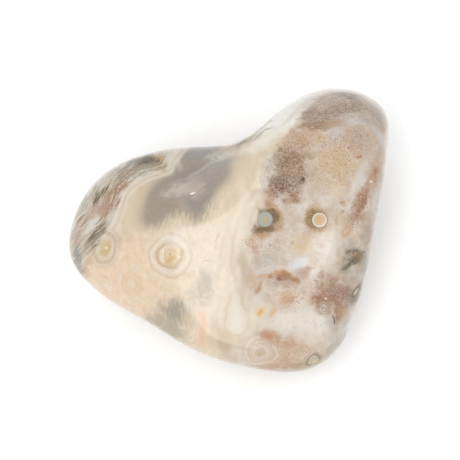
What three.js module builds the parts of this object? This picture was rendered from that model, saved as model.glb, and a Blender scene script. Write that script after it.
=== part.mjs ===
// A tumbled ocean jasper: one solid pebble, broken three-cornered, then rounded and polished on every side.
//
// The stone is drawn in its own face frame, in millimetres: u runs to the right across its broad face, v runs
// up that face and w stands out of it. An outline given by angle and radius bounds the face. Between a height
// for the upper face and one for the lower face, the section is a rounded lens (a superellipse). The stone then
// leans back, and its lowest point is worn to a small flat that it rests on.
//
// Frame of the part: X to the right, Y to the back, Z up. The origin is under the middle of the stone's box, at
// the height of the worn flat.

import * as THREE from "three";
import { mergeVertices } from "three/addons/utils/BufferGeometryUtils.js";

// The outline of the broad face: [degrees anticlockwise from u, radius in mm]. The sharp upper right corner is
// at 44 degrees, the hollow side at 95, the blunt left end at 188 and the lower right corner at 303.
const OUTLINE = [
  [0, 16.4], [16, 18.0], [30, 21.3], [39, 24.0], [49, 23.6], [58, 21.8], [68, 18.4], [79, 13.2],
  [87, 11.5], [97, 11.1], [116, 12.3], [136, 15.0], [158, 19.2], [174, 21.0], [188, 21.5], [204, 18.7],
  [222, 15.9], [246, 15.4], [274, 16.5], [296, 18.9], [310, 19.0], [326, 17.2], [342, 16.4],
];
const RIM_STEP = 3; // degrees between the five radii that are averaged at the rim, to round off the joints
const CROWN_STEP = 16; // the same towards the middle of each face, where the outline's corners fade away
const AVERAGE_WEIGHTS = [1, 4, 6, 4, 1];
const FADE_POWER = 1.5; // how soon they fade with height over the rim

const UPPER_POWER = 3.9; // of the sections over the rim: 2 is an ellipse, more is squarer
const SHOULDER = 1.3; // added to it towards the right, where the face ends in a shoulder, and taken off at the left
const LOWER_POWER = 2.6; // of the sections under the rim
const CROWN = 9.2; // height of the upper face over the face frame's middle
const DEPTH = 10.4; // greatest depth of the lower face under the face frame's middle
const LEAN = 16; // degrees by which the broad face leans back from level
const REST_DEPTH = 0.4; // thickness worn off the lowest point

const EDGE_CUTS = 15; // cuts along each edge of the icosahedron that the mesh starts from
const TINY = 1e-5; // under any length on the unit ball that matters

// Swellings and hollows: where on the face, half-widths along and across, degrees turned, height.
const DISH = { u: -6.0, v: 8.0, along: 7.0, across: 4.5, turn: 25, height: -1.7 };
const RIDGE = { u: 14.0, v: -1.0, along: 9.0, across: 4.0, turn: 68, height: 1.25 };
const LEFT_SIDE = { u: -18.0, v: -2.0, along: 9.0, across: 14.0, turn: 0, height: -0.9 };
const ARRIS = { u: -6.0, v: -12.5, along: 18.0, across: 7.0, turn: -28, height: 4.0 };
const HOLLOW = { u: -12.0, v: 6.0, along: 8.0, across: 6.0, turn: 0, height: 0.7 };

// Slow terms of the two faces and of the rim: in mm, in mm per mm or in mm per mm squared.
const CROWN_FALL = 0.003;
const RIM_HEIGHT = -0.6;
const RIM_TILT = 0.03;
const BELLY = { u: 0.5, v: 8.5, riseAcross: 0.006, riseAlong: 0.011 };

const { degToRad, euclideanModulo } = THREE.MathUtils;

// Radius of the outline at an angle in degrees, on a smooth cubic through the outline's points.
function cubicRadius(degrees) {
  const count = OUTLINE.length;
  const angle = euclideanModulo(degrees, 360);
  const point = (index) => {
    const [at, radius] = OUTLINE[euclideanModulo(index, count)];
    return [at + 360 * Math.floor(index / count), radius];
  };
  let index = count - 1;
  while (OUTLINE[index][0] > angle) index -= 1;
  const [before, start, end, after] = [-1, 0, 1, 2].map((step) => point(index + step));
  const span = end[0] - start[0];
  const slope = (from, to) => ((to[1] - from[1]) / (to[0] - from[0])) * span;
  const share = (angle - start[0]) / span;
  return (
    start[1] * (1 + 2 * share) * (1 - share) ** 2 +
    slope(before, end) * share * (1 - share) ** 2 +
    end[1] * (3 - 2 * share) * share ** 2 +
    slope(start, after) * (share - 1) * share ** 2
  );
}

// The same radius averaged over five angles that are a step apart.
function averageRadius(degrees, step) {
  const middle = (AVERAGE_WEIGHTS.length - 1) / 2;
  let sum = 0;
  let weights = 0;
  AVERAGE_WEIGHTS.forEach((weight, index) => {
    sum += weight * cubicRadius(degrees + (index - middle) * step);
    weights += weight;
  });
  return sum / weights;
}

// Height of a bell-shaped swelling at a point of the face.
function swelling(shape, u, v) {
  const turn = degToRad(shape.turn);
  const along = (u - shape.u) * Math.cos(turn) + (v - shape.v) * Math.sin(turn);
  const across = (v - shape.v) * Math.cos(turn) - (u - shape.u) * Math.sin(turn);
  return shape.height * Math.exp(-((along / shape.along) ** 2) - (across / shape.across) ** 2);
}

// Upper face: a low crown with a dish at the upper left, a ridge along the right and a lower left side.
function upperHeight(u, v) {
  const swellings = swelling(DISH, u, v) + swelling(RIDGE, u, v) + swelling(LEFT_SIDE, u, v);
  return CROWN - CROWN_FALL * u * u + swellings;
}

// Height of the rim itself, which stands high along the lower left side.
function rimHeight(u, v) {
  return RIM_HEIGHT + RIM_TILT * u + swelling(ARRIS, u, v);
}

// Lower face: an evenly rounded belly, deepest a little above the middle, with a shallow hollow at the left.
function lowerHeight(u, v) {
  const rise = BELLY.riseAcross * (u - BELLY.u) ** 2 + BELLY.riseAlong * (v - BELLY.v) ** 2;
  return rise - DEPTH + swelling(HOLLOW, u, v);
}

// The surface point, in the face frame, that a direction from the middle of the stone meets.
function facePoint(direction) {
  const outward = Math.hypot(direction.x, direction.y);
  const sideways = direction.x / Math.max(outward, TINY);
  const power = direction.z > 0 ? UPPER_POWER + SHOULDER * sideways : LOWER_POWER;
  const size = (outward ** power + Math.abs(direction.z) ** power) ** (1 / power);
  const share = direction.z / size;
  const degrees = THREE.MathUtils.radToDeg(Math.atan2(direction.y, direction.x));
  const fade = Math.abs(share) ** FADE_POWER;
  const radius = (1 - fade) * averageRadius(degrees, RIM_STEP) + fade * averageRadius(degrees, CROWN_STEP);
  const u = (radius * direction.x) / size;
  const v = (radius * direction.y) / size;
  const rim = rimHeight(u, v);
  const w = rim + share * (share > 0 ? upperHeight(u, v) - rim : rim - lowerHeight(u, v));
  return new THREE.Vector3(u, v, w);
}

// The whole stone: a ball of small triangles whose vertices are moved onto the surface, leant back, and worn
// flat underneath.
function stoneGeometry() {
  const ball = new THREE.IcosahedronGeometry(1, EDGE_CUTS);
  ball.deleteAttribute("normal");
  ball.deleteAttribute("uv");
  const geometry = mergeVertices(ball, TINY);
  const place = geometry.getAttribute("position");
  const vertex = new THREE.Vector3();
  const upright = new THREE.Vector3(1, 0, 0);
  for (let index = 0; index < place.count; index += 1) {
    vertex.fromBufferAttribute(place, index).normalize();
    vertex.copy(facePoint(vertex)).applyAxisAngle(upright, degToRad(LEAN));
    place.setXYZ(index, vertex.x, vertex.y, vertex.z);
  }
  geometry.computeBoundingBox();
  const floor = geometry.boundingBox.min.z + REST_DEPTH;
  for (let index = 0; index < place.count; index += 1) {
    place.setZ(index, Math.max(place.getZ(index), floor));
  }
  geometry.computeBoundingBox();
  const middle = geometry.boundingBox.getCenter(new THREE.Vector3());
  geometry.translate(-middle.x, -middle.y, -floor);
  geometry.computeVertexNormals();
  return geometry;
}

const polishedJasper = new THREE.MeshStandardMaterial({
  name: "polished_jasper",
  color: "#cfc0ae",
  roughness: 0.12,
  metalness: 0,
});

const stone = new THREE.Mesh(stoneGeometry(), polishedJasper);
stone.name = "tumbled_stone";

const group = new THREE.Group();
group.name = "tumbled_ocean_jasper";
group.add(stone);

export default group;
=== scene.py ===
# %% [markdown]
# # A tumbled ocean jasper
# The object is one loose pebble of ocean jasper, about 40 mm wide, broken three-cornered and then tumbled
# until every side was round and bright. This lesson loads the solid that fixes its size and place, works
# out a finer skin for it from the same measurements, and then spends most of its steps on the finish: the
# orbs, bands, pools and stains that make this stone what it is.

# %% Load the frame
import math

import bpy
import numpy as np
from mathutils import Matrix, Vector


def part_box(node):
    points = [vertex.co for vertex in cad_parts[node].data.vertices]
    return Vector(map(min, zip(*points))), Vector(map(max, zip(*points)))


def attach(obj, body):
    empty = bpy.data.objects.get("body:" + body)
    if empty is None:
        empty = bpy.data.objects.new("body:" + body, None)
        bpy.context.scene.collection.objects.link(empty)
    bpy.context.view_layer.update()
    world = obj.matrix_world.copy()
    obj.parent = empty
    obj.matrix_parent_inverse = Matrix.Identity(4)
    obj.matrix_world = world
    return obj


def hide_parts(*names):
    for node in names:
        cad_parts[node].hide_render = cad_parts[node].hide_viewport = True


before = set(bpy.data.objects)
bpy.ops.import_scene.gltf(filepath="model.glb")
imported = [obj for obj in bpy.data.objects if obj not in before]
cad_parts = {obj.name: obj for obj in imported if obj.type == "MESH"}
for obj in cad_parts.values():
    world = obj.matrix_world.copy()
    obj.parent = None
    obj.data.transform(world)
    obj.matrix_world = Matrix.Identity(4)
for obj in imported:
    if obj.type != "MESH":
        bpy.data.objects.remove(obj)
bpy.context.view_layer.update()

NODE = "tumbled_stone"
MM = 0.001

# %% [markdown]
# ## The outline
# A pebble could be sculpted, or grown from a noise field, but then nothing would hold it to its real size.
# This stone is seen face on, so its outline is the one shape that is known well. It is kept as a handful of
# readings, each an angle in degrees and a radius in millimetres, in the face's own frame: u to the right
# across the face, v up it, w out of it. A smooth cubic joins them, as a draughtsman's curve would.

# %% Read the outline
OUTLINE = [
    (0, 16.4), (16, 18.0), (30, 21.3), (39, 24.0), (49, 23.6), (58, 21.8), (68, 18.4), (79, 13.2),
    (87, 11.5), (97, 11.1), (116, 12.3), (136, 15.0), (158, 19.2), (174, 21.0), (188, 21.5), (204, 18.7),
    (222, 15.9), (246, 15.4), (274, 16.5), (296, 18.9), (310, 19.0), (326, 17.2), (342, 16.4),
]
AVERAGE_WEIGHTS = (1, 4, 6, 4, 1)


def cubic_radius(angle):
    """The radius at an angle in degrees, on a cubic between the two readings beside it whose slope at each
    reading is that of the line between its neighbours."""
    at, radius = np.array(OUTLINE).T
    knots = np.concatenate([at - 360, at, at + 360])
    radii = np.tile(radius, 3)
    slopes = np.zeros(len(knots))
    slopes[1:-1] = (radii[2:] - radii[:-2]) / (knots[2:] - knots[:-2])
    angle = np.mod(angle, 360)
    start = np.searchsorted(knots, angle, side="right") - 1
    span = knots[start + 1] - knots[start]
    share = (angle - knots[start]) / span
    return (
        radii[start] * (1 + 2 * share) * (1 - share) ** 2
        + slopes[start] * span * share * (1 - share) ** 2
        + radii[start + 1] * (3 - 2 * share) * share ** 2
        + slopes[start + 1] * span * (share - 1) * share ** 2
    )


def average_radius(angle, step):
    """The same radius averaged over five angles that are a step apart."""
    shifts = step * (np.arange(len(AVERAGE_WEIGHTS)) - len(AVERAGE_WEIGHTS) // 2)
    nearby = [weight * cubic_radius(angle + shift) for weight, shift in zip(AVERAGE_WEIGHTS, shifts)]
    return sum(nearby) / sum(AVERAGE_WEIGHTS)


print("outline, mm from the middle:", np.round(cubic_radius(np.arange(0, 360, 45)), 1))

# %% [markdown]
# ## The two faces
# Tumbling wears a broken stone from all sides at once, which leaves a low crown on each face and a rounded
# rim between them. So each face is a height over the outline's plane, made of a few gentle terms and
# bell-shaped swellings, and every section through the rim is a superellipse: an oval that is a little
# squarer than a circle. The right side ends in a blunt shoulder, so its sections are squarer than those at
# the left. Lengths are in millimetres, and a swelling's turn is in degrees.

# %% Shape the two faces
RIM_STEP = 3
CROWN_STEP = 16
FADE_POWER = 1.5
UPPER_POWER = 3.9
SHOULDER = 1.3
LOWER_POWER = 2.6
CROWN = 9.2
DEPTH = 10.4

DISH = dict(u=-6.0, v=8.0, along=7.0, across=4.5, turn=25, height=-1.7)
RIDGE = dict(u=14.0, v=-1.0, along=9.0, across=4.0, turn=68, height=1.25)
LEFT_SIDE = dict(u=-18.0, v=-2.0, along=9.0, across=14.0, turn=0, height=-0.9)
ARRIS = dict(u=-6.0, v=-12.5, along=18.0, across=7.0, turn=-28, height=4.0)
HOLLOW = dict(u=-12.0, v=6.0, along=8.0, across=6.0, turn=0, height=0.7)

CROWN_FALL = 0.003
RIM_HEIGHT = -0.6
RIM_TILT = 0.03
BELLY = dict(u=0.5, v=8.5, rise_across=0.006, rise_along=0.011)
TINY = 1e-9


def swelling(shape, u, v):
    """A bell over an oval: its height times e to minus the squared distance in half-widths."""
    turn = math.radians(shape["turn"])
    along = (u - shape["u"]) * math.cos(turn) + (v - shape["v"]) * math.sin(turn)
    across = (v - shape["v"]) * math.cos(turn) - (u - shape["u"]) * math.sin(turn)
    return shape["height"] * np.exp(-((along / shape["along"]) ** 2) - (across / shape["across"]) ** 2)


def upper_height(u, v):
    """A low crown with a dish at the upper left, a ridge along the right and a lower left side."""
    return (CROWN - CROWN_FALL * u * u + swelling(DISH, u, v) + swelling(RIDGE, u, v)
            + swelling(LEFT_SIDE, u, v))


def rim_height(u, v):
    """The height of the rim, which stands high along the lower left side."""
    return RIM_HEIGHT + RIM_TILT * u + swelling(ARRIS, u, v)


def lower_height(u, v):
    """An evenly rounded belly, deepest a little above the middle, with a shallow hollow at the left."""
    rise = BELLY["rise_across"] * (u - BELLY["u"]) ** 2 + BELLY["rise_along"] * (v - BELLY["v"]) ** 2
    return rise - DEPTH + swelling(HOLLOW, u, v)


def face_point(x, y, z):
    """The surface point in a direction from the stone's middle. The part of the direction that lies in the
    face is stretched to the outline, the part across it to the upper or lower height, and both are divided
    by the direction's length as the superellipse measures it. Towards the crown the outline loses its
    corners."""
    outward = np.maximum(np.hypot(x, y), TINY)
    power = np.where(z > 0, UPPER_POWER + SHOULDER * x / outward, LOWER_POWER)
    size = (outward ** power + np.abs(z) ** power) ** (1 / power)
    angle = np.degrees(np.arctan2(y, x))
    fade = np.abs(z / size) ** FADE_POWER
    radius = (1 - fade) * average_radius(angle, RIM_STEP) + fade * average_radius(angle, CROWN_STEP)
    u = radius * x / size
    v = radius * y / size
    rim = rim_height(u, v)
    w = rim + z / size * np.where(z > 0, upper_height(u, v) - rim, rim - lower_height(u, v))
    return np.array([u, v, w])


print("the two faces over the middle, mm:", np.round([upper_height(0, 0), lower_height(0, 0)], 2))

# %% [markdown]
# ## The skin
# A globe's grid of meridians and circles covers the stone once. Its poles would pinch the reflections where
# they lie, so the globe's axis runs from the left end of the stone to the right one, and both poles end up
# on the rim, away from the broad faces. Each pole is a single shared vertex and the last meridian joins the
# first, so that the skin is closed.

# %% Cover the stone with a grid
RINGS = 216
MERIDIANS = 420


def globe_directions():
    """Unit directions on a globe whose axis is u, in rings at even angles that meridians cross."""
    polar = np.linspace(0, np.pi, RINGS + 1)[1:-1, None]
    around = np.linspace(0, 2 * np.pi, MERIDIANS, endpoint=False)[None, :]
    along = np.cos(polar) + 0 * around
    grid = np.array([along, np.sin(polar) * np.cos(around), np.sin(polar) * np.sin(around)])
    poles = np.array([[1.0, 0.0, 0.0], [-1.0, 0.0, 0.0]]).T
    return np.concatenate([poles[:, :1], grid.reshape(3, -1), poles[:, 1:]], axis=1)


def globe_faces():
    """Quads between neighbouring rings and meridians, and a fan of triangles at each pole, facing out."""
    index = 1 + np.arange((RINGS - 1) * MERIDIANS).reshape(RINGS - 1, MERIDIANS)
    beside = np.roll(index, -1, axis=1)
    quads = np.stack([index[:-1], index[1:], beside[1:], beside[:-1]], axis=-1).reshape(-1, 4)
    last = index.max() + 1
    first_fan = np.stack([np.zeros(MERIDIANS, int), index[0], beside[0]], axis=-1)
    last_fan = np.stack([np.full(MERIDIANS, last), beside[-1], index[-1]], axis=-1)
    return quads.tolist() + first_fan.tolist() + last_fan.tolist()


directions = globe_directions()
face_places = face_point(*directions)
print("grid:", face_places.shape[1], "points, face heights from", np.round(face_places[2].min(), 2), "to",
      np.round(face_places[2].max(), 2), "mm")

# %% [markdown]
# ## Hand-worn unevenness
# A tumbler never leaves a perfect oval. The polish follows harder and softer layers, so a lamp's reflection
# on a real pebble has slightly wavering edges. A sum of long plane waves in seeded random directions gives
# that: a few hundredths of a millimetre high and some millimetres long, far too little to change the size.

# %% Add the unevenness
WAVES = 40
WAVE_LENGTHS = (5.0, 14.0)
WAVE_HEIGHT = 0.016
WAVE_SEED = 7
waves = np.random.default_rng(WAVE_SEED)


def unevenness(points):
    """The sum of cosines of the distance along random directions, each with its own wavelength and start. A
    long wave is high and a short one low, and the sum is scaled to the height that the waves have
    together."""
    ways = waves.normal(size=(WAVES, 3))
    ways /= np.linalg.norm(ways, axis=1)[:, None]
    lengths = waves.uniform(*WAVE_LENGTHS, WAVES)
    starts = waves.uniform(0, 2 * np.pi, WAVES)
    total = np.zeros(points.shape[1])
    for way, length, start in zip(ways, lengths, starts):
        total += length / WAVE_LENGTHS[1] * np.cos(2 * np.pi * (way @ points) / length + start)
    return WAVE_HEIGHT * total / math.sqrt(WAVES / 2)


uneven = unevenness(face_places)
face_places = face_places * (1 + uneven / np.linalg.norm(face_places, axis=0))
print("unevenness, mm:", np.round(np.abs(uneven).max(), 3))

# %% [markdown]
# ## Lying down
# The stone leans back as it lies, on a small flat that is worn under its deepest part. The skin takes its
# place from the middle and the floor of the solid, so the two fit each other exactly.

# %% Lay the skin down
LEAN = math.radians(16)
REST_DEPTH = 0.4


def lean_back(point):
    """Turns points from the face frame about its u axis by the stone's lean."""
    u, v, w = point
    return np.array([u, v * math.cos(LEAN) - w * math.sin(LEAN), v * math.sin(LEAN) + w * math.cos(LEAN)])


leant = lean_back(face_places)
floor_height = leant[2].min() + REST_DEPTH
leant[2] = np.maximum(leant[2], floor_height)
middle = (leant.min(axis=1) + leant.max(axis=1)) / 2
solid_low, solid_high = (np.array(corner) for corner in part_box(NODE))
place = (solid_low + solid_high) / 2 / MM
face_origin = np.array([place[0] - middle[0], place[1] - middle[1], solid_low[2] / MM - floor_height])
skin_points = (leant.T + face_origin) * MM
print("skin size, mm:", np.round(np.ptp(leant, axis=1), 2), "solid size, mm:",
      np.round((solid_high - solid_low) / MM, 2))

# %% [markdown]
# ## A mesh to dress
# The points and the faces now become one closed mesh, handed over as whole lists. It is shaded smooth,
# because a polished pebble has no corners, and its object stays at the origin, unturned and unscaled, so
# that a place in the mesh is a place in the scene.

# %% Make the skin a mesh
skin_mesh = bpy.data.meshes.new("stone_skin")
skin_mesh.from_pydata(skin_points.tolist(), [], globe_faces())
skin_mesh.polygons.foreach_set("use_smooth", np.ones(len(skin_mesh.polygons), bool))
skin_mesh.update()
stone = bpy.data.objects.new("stone_skin", skin_mesh)
bpy.context.collection.objects.link(stone)
print("skin:", len(skin_mesh.vertices), "vertices,", len(skin_mesh.polygons), "faces")

# %% [markdown]
# ## The camera
# The photograph looks straight at the broad face, from far enough away that the stone is hardly
# foreshortened. A long lens does the same here. The width of the picture and the point at its centre are
# measured on the stone's rim, whose 40 mm span 318 of the 460 pixels. Lengths are in millimetres.

# %% Place the camera
PICTURE = 460
MM_PER_PIXEL = 40 / 318
FACE_PIXEL = (240, 235)
CAMERA_DISTANCE = 400
SENSOR = 36
NEAREST_SEEN = 10


def to_world(u, v, w):
    """A point of the face frame, in millimetres, as a place in the scene, in metres."""
    return (lean_back((u, v, w)) + face_origin) * MM


centre_u = (PICTURE / 2 - FACE_PIXEL[0]) * MM_PER_PIXEL
centre_v = (FACE_PIXEL[1] - PICTURE / 2) * MM_PER_PIXEL
camera_data = bpy.data.cameras.new("camera")
camera_data.sensor_width = SENSOR
camera_data.lens = SENSOR * CAMERA_DISTANCE / (PICTURE * MM_PER_PIXEL)
camera_data.clip_start = NEAREST_SEEN * MM
camera = bpy.data.objects.new("camera", camera_data)
camera.location = to_world(centre_u, centre_v, CAMERA_DISTANCE)
camera.rotation_euler = (LEAN, 0, 0)
bpy.context.collection.objects.link(camera)
bpy.context.scene.camera = camera
print("lens, mm:", round(camera_data.lens, 1))

# %% [markdown]
# ## Floor and light
# The stone lies on plain matte white paper in a bright room. One large softbox hangs over it, left of the
# camera. A gem photographer looks for its reflection first, because the edges of that reflection are what
# tell the eye that the stone is polished. The softbox is therefore placed by angles from the camera's axis,
# in degrees: those that the stone's upper face mirrors where the photograph shows the soft white patch.

# %% Set up the studio
PAPER_HALF = 1.5
PAPER_COLOUR = "#f6f6f5"
PAPER_ROUGHNESS = 0.9
ROOM_COLOUR = "#fbfdff"
ROOM_BRIGHTNESS = 1.15
SOFTBOX_HEIGHT = 500
SOFTBOX_RIGHT = (-26, -4)
SOFTBOX_UP = (-42, 16)
SOFTBOX_BRIGHTNESS = 3.1


def linear(hex_colour):
    """An sRGB hex colour as the linear red, green, blue and alpha that the shaders reckon in. The curve is
    the one of the sRGB standard: a straight foot, and a power of 2.4 above it."""
    levels = np.array([int(hex_colour[i:i + 2], 16) for i in (1, 3, 5)]) / 255
    return (*np.where(levels <= 0.04045, levels / 12.92, ((levels + 0.055) / 1.055) ** 2.4), 1.0)


floor_mesh = bpy.data.meshes.new("paper_floor")
corners = [(-PAPER_HALF, -PAPER_HALF, 0), (PAPER_HALF, -PAPER_HALF, 0), (PAPER_HALF, PAPER_HALF, 0),
           (-PAPER_HALF, PAPER_HALF, 0)]
floor_mesh.from_pydata(corners, [], [(0, 1, 2, 3)])
floor = bpy.data.objects.new("paper_floor", floor_mesh)
bpy.context.collection.objects.link(floor)
paper = bpy.data.materials.new("matte_white_paper")
paper.use_nodes = True
paper.node_tree.nodes["Principled BSDF"].inputs["Base Color"].default_value = linear(PAPER_COLOUR)
paper.node_tree.nodes["Principled BSDF"].inputs["Roughness"].default_value = PAPER_ROUGHNESS
floor_mesh.materials.append(paper)

world = bpy.data.worlds.new("bright_room")
bpy.context.scene.world = world
world.use_nodes = True
world.node_tree.nodes["Background"].inputs["Color"].default_value = linear(ROOM_COLOUR)
world.node_tree.nodes["Background"].inputs["Strength"].default_value = ROOM_BRIGHTNESS

box_u = [SOFTBOX_HEIGHT * math.tan(math.radians(angle)) for angle in SOFTBOX_RIGHT]
box_v = [SOFTBOX_HEIGHT * math.tan(math.radians(angle)) for angle in SOFTBOX_UP]
box_data = bpy.data.lights.new("softbox", "AREA")
box_data.shape = "RECTANGLE"
box_data.size = (box_u[1] - box_u[0]) * MM
box_data.size_y = (box_v[1] - box_v[0]) * MM
box_data.energy = SOFTBOX_BRIGHTNESS * math.pi * box_data.size * box_data.size_y
softbox = bpy.data.objects.new("softbox", box_data)
softbox.location = to_world(sum(box_u) / 2, sum(box_v) / 2, SOFTBOX_HEIGHT)
softbox.rotation_euler = (LEAN, 0, 0)
bpy.context.collection.objects.link(softbox)
bpy.context.scene.view_settings.view_transform = "Standard"
print("softbox, mm:", round(box_data.size / MM), "by", round(box_data.size_y / MM))
print("softbox, watts:", round(box_data.energy, 2))

# %% [markdown]
# ## Where things are on the face
# Each marking is drawn where the photograph shows it, so there has to be a way from a pixel of the
# photograph to a point of the stone. Every skin point is seen by the camera at some pixel. The point of the
# upper side that is seen nearest to the pixel asked for gives the height there, and the pixel gives the
# rest.

# %% Find a pixel on the stone
JUST_UNDER_THE_RIM = -0.05
upper = directions[2] > JUST_UNDER_THE_RIM
near = CAMERA_DISTANCE / (CAMERA_DISTANCE - face_places[2])
seen_x = PICTURE / 2 + (face_places[0] - centre_u) * near / MM_PER_PIXEL
seen_y = PICTURE / 2 - (face_places[1] - centre_v) * near / MM_PER_PIXEL


def on_face(x, y):
    """The point of the upper side, in millimetres of the face frame, that the camera sees at a pixel."""
    away = np.where(upper, np.hypot(seen_x - x, seen_y - y), np.inf)
    w = face_places[2][np.argmin(away)]
    closer = 1 - w / CAMERA_DISTANCE
    u = centre_u + (x - PICTURE / 2) * MM_PER_PIXEL * closer
    v = centre_v - (y - PICTURE / 2) * MM_PER_PIXEL * closer
    return (float(u), float(v), float(w))


print("the middle of the picture, mm:", np.round(on_face(230, 230), 2))

# %% [markdown]
# ## The drawn edges
# Four borders of this stone are no ovals: the shore of its grey pool of chalcedony, the flow line where the
# cream bands end and the mottled right half begins, the line along which the upper left flank turns
# streaky, and the outline of a white tongue that the bands flow round. So each is drawn as a line through a
# few pixels. What the material needs is how far away the line is. That distance is worked out here for
# every skin point and stored on the mesh. It changes evenly, so it holds between the points too, and the
# material can add noise to it and cut it as sharply as it likes.

# %% Measure the distance to each drawn edge
POOL_SHORE = [(147, 226), (157, 225), (166, 219), (175, 213), (184, 213), (192, 219), (199, 219), (205, 212),
              (210, 202), (217, 191), (228, 178), (237, 164), (240, 154), (233, 150), (222, 152), (226, 144),
              (244, 138), (236, 134), (200, 138), (182, 146), (177, 158), (170, 171), (158, 180), (149, 191),
              (144, 206), (142, 218)]
FLOW_LINE = [(226, 372), (232, 358), (241, 346), (249, 333), (251, 318), (249, 298), (246, 278), (245, 252),
             (248, 226), (256, 206), (265, 194), (265, 180), (267, 163), (276, 147), (294, 130), (302, 115),
             (318, 97), (338, 84), (350, 76)]
FLANK_LINE = [(68, 278), (78, 266), (86, 254), (93, 244), (103, 234), (112, 224), (115, 214), (119, 203),
              (125, 190), (135, 180), (147, 173), (164, 168), (170, 158), (180, 146), (196, 128)]
TONGUE = [(236, 290), (240, 302), (246, 314), (246, 325), (240, 332), (231, 331), (227, 322), (229, 308)]
STEPS_BETWEEN = 6


def drawn_line(pixels, closed):
    """A cubic through pixels laid on the face, as u and v. Each piece is shaped by the pixels before and
    after it. A closed line goes round, and an open one is carried on straight at both ends."""
    knots = np.array([on_face(*pixel)[:2] for pixel in pixels])
    if closed:
        knots = np.concatenate([knots[-1:], knots, knots[:2]])
    else:
        knots = np.concatenate([2 * knots[:1] - knots[1:2], knots, 2 * knots[-1:] - knots[-2:-1]])
    share = np.linspace(0, 1, STEPS_BETWEEN, endpoint=False)[None, :, None]
    before, start, end, after = (knots[i:len(knots) - 3 + i, None, :] for i in range(4))
    bend = 2 * before - 5 * start + 4 * end - after
    line = start + share / 2 * (end - before + share * (bend + share * (3 * (start - end) + after - before)))
    return np.concatenate([line.reshape(-1, 2), knots[-2:-1]])


def distance_left(line):
    """The least distance in mm from each skin point to a line, positive on the line's left."""
    u, v = face_places[:2]
    least = np.full(u.shape, np.inf)
    side = np.ones(u.shape)
    for start, end in zip(line[:-1], line[1:]):
        run = end - start
        share = np.clip(((u - start[0]) * run[0] + (v - start[1]) * run[1]) / (run @ run), 0, 1)
        away = np.hypot(u - start[0] - share * run[0], v - start[1] - share * run[1])
        nearer = away < least
        least = np.where(nearer, away, least)
        side = np.where(nearer, np.sign(run[0] * (v - start[1]) - run[1] * (u - start[0])), side)
    return least * side


def store(name, values):
    """Keeps a value for every skin point as a mesh attribute."""
    attribute = skin_mesh.attributes.new(name, "FLOAT", "POINT")
    attribute.data.foreach_set("value", values.astype(np.float32))
    print(name, "from", np.round(values.min(), 1), "to", np.round(values.max(), 1))


under_rim = rim_height(face_places[0], face_places[1]) - face_places[2]
store("into_pool", distance_left(drawn_line(POOL_SHORE, True)) - np.maximum(under_rim, 0))
store("left_of_flow", distance_left(drawn_line(FLOW_LINE, False)))
store("outside_flank_line", distance_left(drawn_line(FLANK_LINE, False)))
store("into_tongue", -distance_left(drawn_line(TONGUE, True)))
store("under_rim", under_rim)

# %% [markdown]
# ## The material
# Ocean jasper is orbicular chalcedony: quartz too fine-grained to see, deposited in balls, bands and pools
# with a little iron and clay between them. It refracts light 1.54 times, and tumbling with ever finer grit
# leaves it glossy. All of its markings run on into the stone, so they are worked out in space, in
# millimetres of the face frame, and the surface merely cuts them open.
#
# One small function adds each node. Its settings are the node's properties or its sockets' values, and its
# links join sockets to the outputs of earlier nodes.

# %% Start the jasper
jasper = bpy.data.materials.new("tumble_polished_jasper")
jasper.use_nodes = True
tree = jasper.node_tree
gloss = tree.nodes["Principled BSDF"]


def add_node(kind, settings, links, give=0):
    """Adds a node to the jasper and gives one of its outputs."""
    node = tree.nodes.new(kind)
    for name, value in settings.items():
        if name == "stops":
            ramp = node.color_ramp.elements
            ramp[0].position, ramp[0].color = value[0]
            ramp[1].position, ramp[1].color = value[-1]
            for at, colour in value[1:-1]:
                ramp.new(at).color = colour
        elif isinstance(name, int) or name in node.inputs:
            node.inputs[name].default_value = value
        else:
            setattr(node, name, value)
    for name, source in links.items():
        tree.links.new(source, node.inputs[name])
    return node.outputs[give]


def tell(what):
    """Prints what has just been laid, and how many nodes the jasper has so far."""
    print(what + ":", len(tree.nodes), "nodes so far")


origin_in_face = (face_origin[0],
                  face_origin[1] * math.cos(LEAN) + face_origin[2] * math.sin(LEAN),
                  face_origin[2] * math.cos(LEAN) - face_origin[1] * math.sin(LEAN))
where = add_node("ShaderNodeTexCoord", {}, {}, "Object")
where = add_node("ShaderNodeMapping", {
    "Location": [-part for part in origin_in_face], "Rotation": (-LEAN, 0, 0), "Scale": (1 / MM,) * 3,
}, {"Vector": where})
tell("places in the face frame")

# %% [markdown]
# ## Coordinates that wander
# Nothing in the stone is drawn with a ruler: every band wavers at several sizes at once. So the patterns
# are laid in coordinates that wander. Noise shifts them slowly, and finer noise shifts them more. All
# shifts are summed before the coordinates are made, so that every pattern hangs on the stone by a chain of
# the same length, and the renderer can work through the whole chain in order.

# %% Wandering coordinates and masks


def shift_about(lump, reach, start=None):
    """A shift made of noise whose lumps have a size in mm. It goes up to half the reach each way, in mm,
    and is added to a start if there is one."""
    noise = add_node("ShaderNodeTexNoise", {"Scale": 1 / lump, "Detail": 2.0}, {"Vector": where}, "Color")
    parts = add_node("ShaderNodeSeparateColor", {}, {0: noise}).node.outputs
    shift = add_node("ShaderNodeCombineXYZ", {}, {0: parts[0], 1: parts[1], 2: parts[2]})
    centred = add_node("ShaderNodeVectorMath", {
        "operation": "MULTIPLY_ADD", 1: (reach,) * 3, 2: (-reach / 2,) * 3}, {0: shift})
    if start is None:
        return centred
    return add_node("ShaderNodeVectorMath", {"operation": "ADD"}, {0: start, 1: centred})


def shifted(shift):
    """The stone's own coordinates, moved about by a shift."""
    return add_node("ShaderNodeMapping", {}, {"Vector": where, "Location": shift})


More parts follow.
